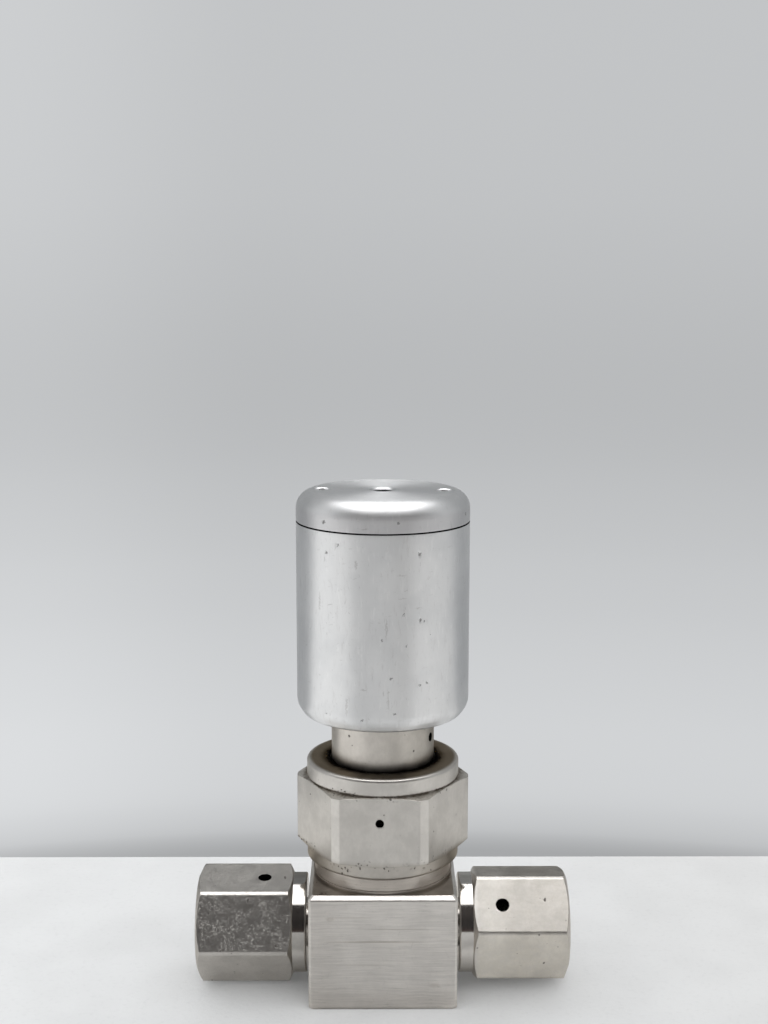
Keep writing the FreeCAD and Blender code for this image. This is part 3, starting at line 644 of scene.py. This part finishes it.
def brushed_steel(name, colour):
    """Stainless block, brushed level, darker by its foot and its left side, with painted shade on its top
    face and boss.
    """
    tree = new_tree(name)
    place = tree.place()
    uneven = tree.vector("ADD", place, tree.joined(0.0, 0.0, tree.noise(place, 0.11)))
    brush = tree.noise(tree.scaled(uneven, (0.12, 0.12, 3.0)), 1.0, 5.0, 0.7)
    strands = tree.noise(tree.scaled(uneven, (0.32, 0.32, 11.0)), 1.0, 3.0, 0.75)
    x, y, z = tree.parts(place)
    rubbed = scuffs(tree, place, z, tree.plus(x, y), (12, -25), 2.2, 0.5, 0.6, 0.74)
    clouds = tree.noise(place, 0.2, 3.0)
    holes = specks(tree, place, 3.0, 0.14, 0.2)
    shade = tree.mix(tree.between(clouds, 0.35, 0.65), shaded(colour, 0.95), shaded(colour, 1.04))
    shade = tree.mix(tree.between(brush, 0.35, 0.7, 0.0, 0.55), shade, shaded(colour, 0.74))
    shade = tree.mix(tree.between(strands, 0.55, 0.8, 0.0, 0.6), shade, shaded(colour, 1.3))
    shade = tree.mix(tree.between(strands, 0.25, 0.42, 0.6, 0.0), shade, shaded(colour, 0.6))
    shade = tree.mix(tree.times(rubbed, 0.3), shade, shaded(colour, 0.66))
    for aside, up, wide, tall, amount in BLOCK_MARKS:
        spot = mark(tree, place, (aside, BLOCK_FRONT, up), (wide, 1.0, tall))
        shade = tree.tinted(shade, tree.times(spot, amount), (0.62, 0.58, 0.54))
    shade = tree.mix(tree.times(holes, 0.7), shade, (0.08, 0.07, 0.06))
    shade = tree.tinted(shade, tree.falling(z, 0.5, 6.0), (0.90, 0.89, 0.88))
    shade = tree.tinted(shade, tree.falling(x, -12.0, -6.0), (0.94, 0.935, 0.93))
    # Painted shade on the top face and the boss, under the nuts.
    painted_top_shade = tree.between(z, BLOCK_TOP - 0.08, BLOCK_TOP + 0.02)
    shade = tree.tinted(shade, painted_top_shade, (0.72, 0.69, 0.66))
    rough = tree.between(strands, 0.3, 0.7, 0.26, 0.4, False)
    height = tree.math("MULTIPLY_ADD", brush, 0.5, tree.times(strands, 0.5))
    metal(tree, shade, rough, tree.minus(height, holes), 0.02)


def plain_metal(name, colour, roughness):
    """The finish of a metal piece inside: fine turning marks and a light stain."""
    tree = new_tree(name)
    place = tree.place()
    marks = turned_vector(tree, place, "Z", (0, 0, 0), 6.0, 1.0)[0]
    lines = tree.noise(marks, 1.0)
    clouds = tree.noise(place, 0.3, 3.0)
    shade = tree.mix(tree.between(clouds, 0.35, 0.65), shaded(colour, 0.88), shaded(colour, 1.08))
    rough = tree.between(lines, 0.3, 0.7, roughness - 0.06, roughness + 0.06, False)
    metal(tree, shade, rough, lines, 0.01)


def moulded(name, colour, roughness):
    """Rubber or plastic with a fine matt grain."""
    tree = new_tree(name)
    place = tree.place()
    grain = tree.noise(place, 9.0, 3.0)
    clouds = tree.noise(place, 0.5)
    shade = tree.mix(tree.between(clouds, 0.3, 0.7), shaded(colour, 0.85), shaded(colour, 1.15))
    rough = tree.between(grain, 0.3, 0.7, roughness - 0.05, roughness + 0.05, False)
    tree.finish(base_color=shade, roughness=rough, normal=tree.relief(grain, 0.01))


# Marks on the block's front: X, Z, how far they reach along X and Z, and how dark they are
BLOCK_FRONT = -13.6
BLOCK_MARKS = [
    (-1.5, 13.15, 12.0, 0.13, 0.9), (-6.0, 17.8, 6.0, 0.08, 0.6), (3.0, 15.6, 8.0, 0.08, 0.6),
    (-4.0, 8.7, 7.0, 0.07, 0.5), (9.4, 4.7, 1.3, 0.6, 0.25), (-9.6, 17.5, 1.0, 0.5, 0.3),
]

# Marks on round sides: degrees to the right of the front, height, radius and reach
SIDE = HOUSING_RADIUS
HOUSING_PITS = [
    (23.5, 85.1, SIDE, 0.42), (-30, 86.5, SIDE, 0.3), (-39, 84.9, SIDE, 0.36), (24, 73.4, SIDE, 0.4),
    (27, 73.1, SIDE, 0.26), (-0.5, 70.0, SIDE, 0.3), (15, 68.9, SIDE, 0.24), (13, 74.5, SIDE, 0.26),
    (5, 63.1, SIDE, 0.3), (24, 61.6, SIDE, 0.3), (29, 61.8, SIDE, 0.3), (7.2, 56.7, SIDE, 0.3),
    (-40, 55.9, 15.75, 0.3), (-36.4, 55.8, 15.67, 0.3), (-33, 55.2, 15.29, 0.4), (-22.5, 55.4, 15.39, 0.3),
    (-13.4, 55.5, 15.5, 0.45), (-0.9, 55.6, 15.54, 0.3), (10.1, 54.3, 14.7, 0.35), (36, 55.1, 15.23, 0.4),
    (22, 54.8, 15.02, (1.0, 0.6, 0.3)), (32.5, 54.9, 15.05, (0.7, 0.5, 0.3)),
]
HOUSING_STREAKS = [
    (-17.5, 83.4, SIDE, (0.3, 0.3, 1.2)), (-12.5, 61.0, SIDE, (0.8, 0.4, 0.2)),
    (-45, 76.0, SIDE, (0.3, 0.3, 2.4)), (-24, 57.6, SIDE, (0.25, 0.3, 2.2)),
    (12, 81.5, SIDE, (1.1, 0.5, 0.14)), (12, 77.4, SIDE, (1.0, 0.5, 0.14)),
    (23, 75.5, SIDE, (1.0, 0.6, 0.14)), (2, 72.0, SIDE, (0.2, 0.4, 2.6)), (3, 59.5, SIDE, (0.2, 0.4, 2.4)),
]
CAP_PITS = [(-41, 90.3, SIDE, 0.42), (9.5, 90.7, SIDE, 0.36), (68, 90.7, SIDE, 0.4)]
CAP_STREAKS = [(-12, 89.6, SIDE, (0.9, 0.6, 0.15)), (0, 92.4, 15.0, (0.7, 0.7, 0.2))]
NUT_PITS = [(degrees, height, NUT_COLLAR, reach) for degrees, height, reach in (
    (-43, 40.9, 0.22), (-40, 41.3, 0.18), (-35, 41.0, 0.2), (-32, 41.5, 0.16), (-29, 41.3, 0.24),
    (-25, 41.1, 0.15), (-21, 41.3, 0.16), (43, 40.95, 0.24), (1, 40.9, 0.2), (-35, 26.9, 0.22),
    (-32, 26.6, 0.26), (-29, 26.9, 0.2), (-27, 26.3, 0.24), (-17, 27.2, 0.24), (-6, 27.5, 0.16),
    (1, 27.4, 0.24), (4, 27.0, 0.2), (24, 27.0, 0.26), (38, 25.9, 0.2),
)]
NECK_PITS = [(-40, 50.0, 9.5, 0.3), (36, 47.3, 9.5, 0.25), (-36, 48.4, 9.5, 0.2)]

# Pits on the end nuts: where, and how far they reach
UNION_PITS = [
    ((-24.98, -7.31, 18.33), (0.25, 0.3, 0.7)), ((-19.7, -10.32, 10.9), 0.35), ((-27.7, -10.85, 9.6), 0.3),
    ((29.9, -8.6, 6.63), 0.3), ((30.1, -6.45, 18.1), (0.25, 0.5, 0.5)),
    ((-18.4, -1.4, 20.3), (0.2, 0.8, 0.8)),
]


def round_spots(rows):
    """The centre and the reach of each mark on a round side."""
    spots = []
    for degrees, height, radius, reach in rows:
        turn = FRONT + math.radians(degrees)
        spots.append(((radius * math.cos(turn), radius * math.sin(turn), height), reach))
    return spots


def nut_top_stain(tree, place):
    """The brown ring on the bonnet nut's top face."""
    x, y, z = tree.parts(place)
    out = tree.vector("LENGTH", tree.joined(x, y, 0.0), output=1)
    face = tree.between(z, NUT_HIGH[2] - 0.35, NUT_HIGH[2] - 0.1)
    return tree.times(face, tree.falling(out, NUT_COLLAR - 1.1, NUT_COLLAR - 0.3))


def nut_hole_shadow(tree, place):
    """Painted shade: the black rim of the bonnet nut's top face round the neck, where the neck's foot meets
    the nut.
    """
    x, y, z = tree.parts(place)
    out = tree.vector("LENGTH", tree.joined(x, y, 0.0), output=1)
    reach = tree.plus(tree.times(tree.noise(place, 0.6, 3.0), 1.2), NECK_RADIUS)
    near = tree.falling(tree.minus(out, reach), -0.4, 2.0)
    return tree.times(near, tree.between(z, NUT_HIGH[2] - 0.35, NUT_HIGH[2] - 0.1))


def nut_groove_darkening(tree, place):
    """Darker in the corner under the bonnet nut's upper collar, in patches."""
    z = tree.plus(tree.parts(place)[2], tree.times(tree.noise(place, 1.6, 3.0), 0.5))
    line = tree.close_to(z, NUT_CONES[1] + 0.3, 0.05, 0.4)
    return tree.times(line, tree.between(tree.noise(place, 0.5), 0.3, 0.6, 0.2, 1.0))


def nut_pitting(tree, place):
    """Where small pits gather on the bonnet nut: by the upper cone and round the lower collar."""
    z = tree.parts(place)[2]
    upper = tree.close_to(z, NUT_HEX[1] + 0.3, 0.1, 0.9)
    lower = tree.close_to(z, NUT_HEX[0] - 0.6, 0.3, 1.8)
    patches = tree.between(tree.noise(place, 0.22), 0.45, 0.6)
    return tree.times(tree.most(upper, lower), patches)


def nut_foot_grime_and_shade(tree, place):
    """Darker on the bonnet nut's lower collar, more towards its sides: painted shade under the hex's lower
    cone, with some grime.
    """
    x, _, z = tree.parts(place)
    foot = tree.falling(z, NUT_CONES[0] - 0.1, NUT_HEX[0] + 0.8)
    return tree.times(foot, tree.between(tree.math("ABSOLUTE", x), 3.0, 11.0, 0.5, 1.0))


def neck_foot_shade(tree, place):
    """Painted shade: the dark foot of the neck, where it meets the bonnet nut."""
    z = tree.plus(tree.parts(place)[2], tree.times(tree.noise(place, 0.35, 3.0), -1.0))
    return tree.falling(z, NUT_HIGH[2] - 0.9, NUT_HIGH[2] + 1.3)


def neck_right_shade(tree, place):
    """Painted shade: the neck is made darker towards its right side."""
    return tree.between(tree.parts(place)[0], -3.0, 7.0)


def across(side_name, flat):
    """The way that a flat of an end nut faces; flat 0 carries the test port."""
    side = SIDES[side_name]
    turn = math.radians(UNION_TURN[side_name] + 60 * flat)
    return np.array([0.0, -side * math.sin(turn), math.cos(turn)])


def side_port(degrees, out, height, radius):
    """A level port towards the Z axis. Its mouth is so far out, and degrees round from the front."""
    turn = FRONT + math.radians(degrees)
    way = np.array([math.cos(turn), math.sin(turn), 0.0])
    mouth = way * out + np.array([0.0, 0.0, height])
    return tuple(mouth), tuple(-way), radius, 0.0


def test_ports():
    """Both mouths of each end nut's test port."""
    ports = []
    for name, side in SIDES.items():
        for flat in (0, 3):
            way = across(name, flat)
            mouth = np.array([side * TEST_PORT_PLACE, 0, UNION_AXIS]) + way * UNION_FLAT
            ports.append((tuple(mouth), tuple(-way), TEST_PORT_RADIUS, 0.15))
    return ports


def right_flat_painted_light(flat):
    """Painted light and shade on one flat of the right end nut, a little cloudy: each flat is made lighter or
    darker by the way it faces.
    """

    def stain_and_shade(tree, place):
        off = tree.vector("SUBTRACT", place, (0, 0, UNION_AXIS))
        up = tree.vector("DOT_PRODUCT", off, tuple(across("right", flat)), output=1)
        outside = tree.between(tree.parts(off)[0], UNION_SHOULDER + 0.2, UNION_SHOULDER + 1.2)
        face = tree.times(tree.between(up, UNION_FLAT - 0.25, UNION_FLAT - 0.1), outside)
        cloud = tree.noise(tree.scaled(place, (0.5, 0.9, 0.9)), 1.0, 4.0, 0.65)
        return tree.times(face, tree.between(cloud, 0.3, 0.65, 0.6, 1.0))

    return stain_and_shade


def right_end(tree, place):
    """The right end nut is a little darker towards its open end."""
    return tree.between(tree.parts(place)[0], UNION_SHOULDER + 3.5, UNION_SHOULDER + 9.0)


def left_nut_darker(tree, place):
    """The left end nut is made darker than the right one."""
    return tree.falling(tree.parts(place)[0], -1.0, 1.0)


def make_materials():
    """Every finish, under the name of its slot in the record."""
    aluminium("housing_aluminium", round_spots(HOUSING_PITS), round_spots(HOUSING_STREAKS), 0.34, 0.5)
    aluminium("cap_aluminium", round_spots(CAP_PITS), round_spots(CAP_STREAKS), 0.40, 0.6)
    machined_steel(
        "bonnet_nut_steel", "Z", (0, 0, 0), WARM_STEEL, pits=round_spots(NUT_PITS), gathered=nut_pitting,
        ports=[side_port(NUT_TURN, NUT_FLAT, LEAK_PORT_HEIGHT, LEAK_PORT_RADIUS)], scuffing=0.35,
        stains_and_shading=[
            (nut_top_stain, (0.50, 0.455, 0.40)), (nut_hole_shadow, (0.02, 0.017, 0.015)),
            (nut_groove_darkening, (0.35, 0.32, 0.29)), (nut_foot_grime_and_shade, (0.60, 0.57, 0.53)),
        ],
    )
    machined_steel(
        "union_nut_steel", "X", (0, 0, UNION_AXIS), STEEL, pits=UNION_PITS, ports=test_ports(),
        polished=(UNION_SHOULDER - 0.05, UNION_SHOULDER + 0.05), scuffing=0.9,
        stains_and_shading=[
            (right_flat_painted_light(0), (0.86, 0.855, 0.83)), (right_flat_painted_light(1), (1.06, 1.05, 1.0)),
            (right_end, (0.88, 0.875, 0.87)), (right_flat_painted_light(-1), (0.68, 0.68, 0.67)),
            (left_nut_darker, (0.72, 0.72, 0.715)),
        ],
    )
    machined_steel(
        "bonnet_steel", "Z", (0, 0, 0), NECK_STEEL, pits=round_spots(NECK_PITS),
        ports=[side_port(VENT_TURN, NECK_RADIUS, VENT_HEIGHT, VENT_RADIUS)],
        stains_and_shading=[(neck_foot_shade, (0.03, 0.025, 0.02)), (neck_right_shade, (0.78, 0.78, 0.77))],
    )
    brushed_steel("block_steel", shaded(STEEL, 1.1))
    for name, colour, roughness in (
        ("gland_steel", STEEL, 0.25), ("gasket_steel", STEEL, 0.2), ("bellows_steel", STEEL, 0.22),
        ("stem_steel", STEEL, 0.2), ("spring_steel", SPRING_STEEL, 0.35),
        ("thrust_ring_bronze", BRONZE, 0.35), ("bush_bronze", BRONZE, 0.35),
        ("piston_aluminium", (0.78, 0.78, 0.79), 0.32),
    ):
        plain_metal(name, colour, roughness)
    for name, colour, roughness in (
        ("seal_rubber", (0.02, 0.02, 0.02), 0.55), ("tip_polymer", (0.72, 0.70, 0.62), 0.45),
        ("band_polymer", (0.75, 0.74, 0.70), 0.45),
    ):
        moulded(name, colour, roughness)


def dress_cad_nodes():
    """Gives every CAD node the finish of its own slot."""
    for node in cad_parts.values():
        for slot in node.material_slots:
            finish = MATERIALS[slot.material.name.split(".")[0]]
            slot.link = "OBJECT"
            slot.material = finish


# Pieces

def hexagon_angles(flat, turned, turn, step, fine_step):
    """Angles round a nut, fine where its six flats meet its turned corners."""
    edge = math.acos(flat / turned)
    middles = [turn + math.pi / 3 * k for k in range(6)]
    places = [(middle + sign * edge) % (2 * math.pi) for middle in middles for sign in (-1, 1)]
    return refined(0, 2 * math.pi, math.radians(step), places, math.radians(1.2), math.radians(fine_step))


def bonnet_nut():
    """The big hexagon nut: collars above and below, a rounded rim, and a nick under the upper collar."""
    low, high = NUT_LOW[2] + INSET, NUT_HIGH[2] - INSET
    turn = FRONT + math.radians(NUT_TURN)
    collar, nick = NUT_COLLAR - INSET, NUT_CONES[1]
    outline = rounded([
        (0, low, 0, 1), (collar - 0.3, low, 0, 1), (collar, low + 0.3, 0, 0.1),
        (collar, NUT_CONES[0], 0.08, 0.4), (NUT_TURNED - INSET, NUT_HEX[0], 0.04, 0.06),
        (NUT_TURNED - INSET, NUT_HEX[1], 0.08, 0.4),
        (collar + NUT_NICK, nick - 0.06, 0.03, 0.06), (collar - NUT_NICK, nick, 0, 0.06),
        (collar - NUT_NICK, nick + NUT_NICK, 0, 0.06), (collar, nick + 2 * NUT_NICK, 0.05, 0.06),
        (collar, high, NUT_RIM, 0.3), (0, high, 0, 1.0),
    ])
    angles = hexagon_angles(NUT_FLAT, NUT_TURNED, turn, 0.9, 0.12)

    def radius_of(radius, angle, height):
        return soft_min(radius, flats(angle, 6, NUT_FLAT - INSET, turn), 2 * SOFT_EDGE)

    round_piece("bonnet_nut", "root", "bonnet_nut_steel", outline, angles, radius_of)


def union_nut(side_name):
    """An end nut, on the left or on the right."""
    side = SIDES[side_name]
    low, high = UNION_LOW[0] + INSET, UNION_HIGH[0] - INSET
    turn = math.radians(UNION_TURN[side_name])
    outline = rounded([
        (0, low, 0, 1), (UNION_COLLAR - INSET, low, 0.35, 0.5),
        (UNION_COLLAR - INSET, UNION_SHOULDER, 0.06, 0.3),
        (UNION_TURNED - INSET, UNION_SHOULDER + UNION_BACK_CONE, 0.08, 0.06),
        (UNION_TURNED - INSET, UNION_HIGH[0] - UNION_MOUTH_CONE, 0.15, 0.35),
        (UNION_MOUTH_RADIUS - INSET, high, 0.12, 0.06), (0, high, 0, 0.6),
    ])
    angles = hexagon_angles(UNION_FLAT, UNION_TURNED, turn, 1.2, 0.15)

    def radius_of(radius, angle, height):
        return soft_min(radius, flats(angle, 6, UNION_FLAT - INSET, turn), 2 * SOFT_EDGE)

    node, body = side_name + "_union_nut", side_name + "_nut"
    round_piece(node, body, "union_nut_steel", outline, angles, radius_of, lying(side))


def block():
    """The square block, with the thin ring and the boss on its top."""
    low, top, over = BLOCK_LOW[2] + INSET, BLOCK_TOP - INSET, BLOCK_HIGH[2] + 1
    corner = BLOCK_HALF * math.sqrt(2)
    ring_low, ring_high = BOSS_RING[0] + INSET, BOSS_RING[1] - INSET
    outline = rounded([
        (0, low, 0, 1), (corner, low, 0, 0.7), (corner, BLOCK_FOOT_CHAMFER, 0, 0.06),
        (corner, BLOCK_TOP - BLOCK_TOP_CHAMFER, 0, 0.4), (corner, top, 0, 0.05),
        (BOSS_FOOT - INSET, top, 0, 0.25), (BOSS_FOOT - INSET, ring_low, 0, 0.1),
        (BOSS_RING_RADIUS - INSET, ring_low, 0.03, 0.1), (BOSS_RING_RADIUS - INSET, ring_high, 0.03, 0.05),
        (BOSS_RADIUS - INSET, ring_high, 0.05, 0.1), (BOSS_RADIUS - INSET, over, 0, 1.0), (0, over, 0, 2.0),
    ])
    corners = [math.pi / 4 + math.pi / 2 * k for k in range(4)]
    angles = refined(0, 2 * math.pi, math.radians(1.1), corners, math.radians(1.8), math.radians(0.12))

    def radius_of(radius, angle, height):
        foot = np.maximum(BLOCK_FOOT_CHAMFER - height, 0)
        head = np.maximum(height - (BLOCK_TOP - BLOCK_TOP_CHAMFER), 0)
        half = BLOCK_HALF - foot - np.where(height > top + INSET / 2, 0, head)
        sides = flats(angle, 4, half, 0)
        bevels = flats(angle, 4, (2 * half - BLOCK_SIDE_CHAMFER) / math.sqrt(2), math.pi / 4)
        return np.minimum(radius, soft_min(sides, bevels, SOFT_EDGE))

    round_piece("valve_body", "root", "block_steel", outline, angles, radius_of)


# The housing's dents: degrees round from the front, height, half width, half height and depth
HOUSING_DENTS = [
    (23.5, 85.1, 0.22, 0.26, 0.14), (-30, 86.5, 0.16, 0.20, 0.08), (24, 73.4, 0.2, 0.24, 0.10),
    (-32, 55.2, 0.22, 0.18, 0.10), (-22, 55.5, 0.2, 0.16, 0.08), (-13.5, 55.3, 0.35, 0.28, 0.12),
    (-1, 55.1, 0.2, 0.18, 0.08), (9.5, 54.7, 0.22, 0.2, 0.10), (21.5, 54.8, 0.7, 0.24, 0.18),
    (32, 55.3, 0.7, 0.16, 0.12), (54, 55.6, 0.2, 0.3, 0.10), (150, 70.0, 0.3, 0.3, 0.12),
    (-140, 60.0, 0.25, 0.3, 0.1), (100, 55.1, 0.5, 0.2, 0.12),
]


def actuator_housing():
    """The long round cup, with its cone at the foot, a chamfered seam at the top and its dents."""
    low = HOUSING_LOW[2] + INSET
    side = HOUSING_RADIUS - INSET
    slot, over = SEAM - SEAM_SLOT_HALF, SEAM + 5
    outline = rounded([
        (0, low, 0, 2), (side - HOUSING_CONE_WIDTH, low, 1.4, 2),
        (side, low + HOUSING_CONE_HEIGHT, 3.0, 0.1),
        (side, slot - SEAM_CHAMFER, 0.05, 0.4), (side - SEAM_CHAMFER, slot, 0.03, 0.05),
        (side - SEAM_SLOT_DEPTH, slot, 0, 0.1), (side - SEAM_SLOT_DEPTH, over, 0, 1), (0, over, 0, 3),
    ])
    dents = [(math.degrees(FRONT) + dent[0], *dent[1:]) for dent in HOUSING_DENTS]
    places = [math.radians(dent[0]) % (2 * math.pi) for dent in dents]
    angles = refined(0, 2 * math.pi, math.radians(1.5), places, math.radians(1.8), math.radians(0.3))

    def radius_of(radius, angle, height):
        return np.where(height < SEAM - 0.5, dented(radius, angle, height, dents), radius)

    round_piece("actuator_housing", "root", "housing_aluminium", outline, angles, radius_of)


def actuator_cap():
    """The screwed cap, with its round crown and the countersunk rims of its two spanner holes."""
    top = CAP_HIGH[2] - INSET
    side = HOUSING_RADIUS - INSET
    under, slot = CAP_LOW[2] - 1, SEAM + SEAM_SLOT_HALF
    outline = rounded([
        (0, under, 0, 2), (side - SEAM_SLOT_DEPTH, under, 0, 2), (side - SEAM_SLOT_DEPTH, slot, 0, 1),
        (side - SEAM_CHAMFER, slot, 0.03, 0.1), (side, slot + SEAM_CHAMFER, 0.05, 0.05),
        (side, top, CAP_FILLET, 0.3), (0, top, 0, 0.5),
    ])
    angles = np.arange(360) * math.radians(1)
    cones = []
    for turn in (CAP_TURN, CAP_TURN + 180):
        aside = SPANNER_HOLE_PLACE * math.cos(math.radians(turn))
        back = SPANNER_HOLE_PLACE * math.sin(math.radians(turn))
        point = (aside, back, top)
        cones.append(countersink(point, SPANNER_HOLE_RADIUS, SPANNER_HOLE_MOUTH, SPANNER_HOLE_SINK))

    def radius_of(radius, angle, height):
        return radius

    round_piece("actuator_cap", "root", "cap_aluminium", outline, angles, radius_of, cones=cones)


def flexing(node, slot):
    """A copy of a CAD piece in the node's place, with the finish of its slot."""
    piece = new_object(node + "_flexing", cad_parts[node].data.copy())
    stand_in(piece, node, slot)
    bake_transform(piece)


# The room round the valve

def make_floor():
    """A pale board under the valve. Its far edge shows as the line behind the valve."""
    near, far, wide = -1.5, 0.059, 1.5
    corners = [(-wide, near, 0), (wide, near, 0), (wide, far, 0), (-wide, far, 0)]
    mesh = bpy.data.meshes.new("floor")
    mesh.from_pydata(corners, [], [(0, 1, 2, 3)])
    floor = new_object("floor", mesh)
    tree = new_tree("floor_board")
    place = tree.place()
    x, y, _ = tree.parts(place)
    grain = tree.noise(place, 0.9, 4.0, 0.65)
    clouds = tree.noise(place, 0.05)
    shade = tree.mix(tree.between(clouds, 0.3, 0.7), (0.715, 0.725, 0.731), (0.755, 0.766, 0.773))
    shade = tree.tinted(shade, tree.between(grain, 0.5, 0.75, 0.0, 0.5), (0.9, 0.9, 0.9))
    # Painted shade: the board is darker towards the right.
    shade = tree.tinted(shade, tree.between(x, 10.0, 80.0), (0.92, 0.915, 0.91))
    # Painted shade: as the metal mirrors it, the board is lighter to the sides and darker ahead of the valve
    # and far to the right, for the shade cast by the room in front; the camera sees it plain.
    turn = tree.math("ARCTAN2", x, tree.times(y, -1.0))
    ahead = tree.window(turn, -0.85, -0.6, 0.5, 0.85)
    away = tree.between(tree.vector("LENGTH", place, output=1), 150.0, 350.0)
    aside = tree.times(away, tree.between(turn, 0.0, 0.6))
    ahead = tree.times(ahead, tree.between(away, 0, 1, 1.0, 0.72))
    reflected_shade = tree.between(ahead, 0, 1, 1.10, 0.73)
    reflected_shade = tree.times(reflected_shade, tree.between(aside, 0, 1, 1.0, 0.80))
    reflected_shade = tree.times(reflected_shade, tree.between(turn, 1.0, 1.5, 1.0, 0.8))
    mirrored = tree.scaled(tree.scaled(shade, (1.0, 0.99, 0.975)), tree.joined(reflected_shade, reflected_shade, reflected_shade))
    in_metal = tree.add("ShaderNodeLightPath", {}, "Is Glossy Ray")
    colour = tree.mix(in_metal, shade, mirrored)
    tree.finish(base_color=colour, roughness=0.9, normal=tree.relief(grain, 0.15, 0.4))
    floor.data.materials.append(MATERIALS["floor_board"])


# The pale wall behind the valve: how high a line of sight points, and how light it is there
# The levels paint the wall's light and shade, with a dark strip of painted shade just above the floor's far
# edge.
WALL_LEVELS = [
    (-0.60, 0.58), (-0.44, 0.50), (-0.377, 0.40), (-0.369, 0.41), (-0.36, 0.53), (-0.343, 0.62),
    (-0.319, 0.65), (-0.282, 0.64), (-0.233, 0.60), (-0.19, 0.565), (-0.139, 0.52), (-0.095, 0.495),
    (-0.033, 0.51), (0.03, 0.54), (0.14, 0.556),
]

# The same wall as the metal mirrors it
REAR_LEVELS = [(-0.5, 0.31), (-0.1, 0.31), (0.03, 0.22), (0.2, 0.31), (0.4, 0.24), (0.65, 0.28)]

# The light on matt things by height, and its strength
SOFT_LEVELS = [(-0.2, 0.5), (0.03, 1.0), (0.3, 0.85), (0.6, 0.42), (1.0, 0.25)]
SOFT_STRENGTH = 2.5

# The ceiling light as the metal mirrors it, and its brighter middle
PANEL_LIGHT = (1.7, 1.7, 1.7)
CORE_LIGHT = (3.8, 3.8, 3.8)


def make_world():
    """A soft studio: a bright ceiling light, pale sides and back, and a dark room in front of the valve."""
    world = bpy.data.worlds.new("studio")
    bpy.context.scene.world = world
    tree = Tree(world)
    x, y, z = tree.parts(tree.add("ShaderNodeTexCoord", {}, "Generated"))
    height = tree.most(z, 0.02)
    aside = tree.math("ABSOLUTE", tree.math("DIVIDE", x, height))
    back = tree.math("DIVIDE", y, height)
    along = tree.window(back, -0.54, -0.42, 0.42, 0.6)
    along = tree.times(along, tree.between(z, 0.05, 0.2))
    panel = tree.times(along, tree.falling(aside, 0.62, 0.8))
    core = tree.times(along, tree.falling(aside, 0.38, 0.48))
    level = tree.math("SQRT", tree.math("MULTIPLY_ADD", x, x, tree.times(y, y)))
    ahead = tree.math("DIVIDE", y, tree.most(level, 0.001))
    front = tree.mix(tree.between(z, 0.02, 0.2), (0.05, 0.03, 0.026), (0.018, 0.015, 0.014))
    front = tree.mix(tree.between(z, 0.3, 0.75), front, (0.06, 0.054, 0.052))
    rear = tree.scaled(tree.ramp(z, REAR_LEVELS), (0.97, 1.0, 1.02))
    sides = tree.mix(tree.between(x, 0.3, 0.9), (0.60, 0.605, 0.61), (0.46, 0.465, 0.47))
    walls = tree.mix(tree.between(ahead, -0.75, -0.1), front, sides)
    walls = tree.mix(tree.between(ahead, 0.1, 0.6), walls, rear)
    room = tree.mix(panel, walls, PANEL_LIGHT)
    room = tree.mix(core, room, CORE_LIGHT)
    soft = tree.scaled(tree.ramp(z, SOFT_LEVELS), (SOFT_STRENGTH,) * 3)
    lit = tree.mix(tree.add("ShaderNodeLightPath", {}, "Is Glossy Ray"), soft, room)
    wall = tree.scaled(tree.ramp(z, WALL_LEVELS), (0.98, 1.0, 1.02))
    # Painted light: the wall is made brighter towards the left.
    wall = tree.mix(tree.falling(x, -0.24, -0.06), wall, tree.scaled(wall, (1.12, 1.12, 1.12)))
    shown = tree.mix(tree.add("ShaderNodeLightPath", {}, "Is Camera Ray"), lit, wall)
    background = tree.add("ShaderNodeBackground", {"Color": shown})
    tree.add("ShaderNodeOutputWorld", {"Surface": background}, output=None)


# The camera, fitted to the photograph: its place in metres and its angles in degrees
CAMERA_PLACE = (-0.001378, -0.277879, 0.136778)
CAMERA_TURN = (90 - 9.544, -0.05, -0.316)
CAMERA_LENS = 54.43
CAMERA_SENSOR = 36.0


def make_camera():
    """The photograph's point of view: a little above the valve, looking slightly down."""
    data = bpy.data.cameras.new("camera")
    data.lens = CAMERA_LENS
    data.sensor_width = CAMERA_SENSOR
    camera = new_object("camera", data)
    camera.location = CAMERA_PLACE
    camera.rotation_euler = [math.radians(angle) for angle in CAMERA_TURN]
    bpy.context.scene.camera = camera


make_materials()
dress_cad_nodes()
block()
bonnet_nut()
union_nut("left")
union_nut("right")
actuator_housing()
actuator_cap()
flexing("bellows", "bellows_steel")
flexing("closing_spring_outer", "spring_steel")
flexing("closing_spring_inner", "spring_steel")
make_floor()
make_world()
make_camera()
bpy.context.scene.view_settings.view_transform = "Standard"
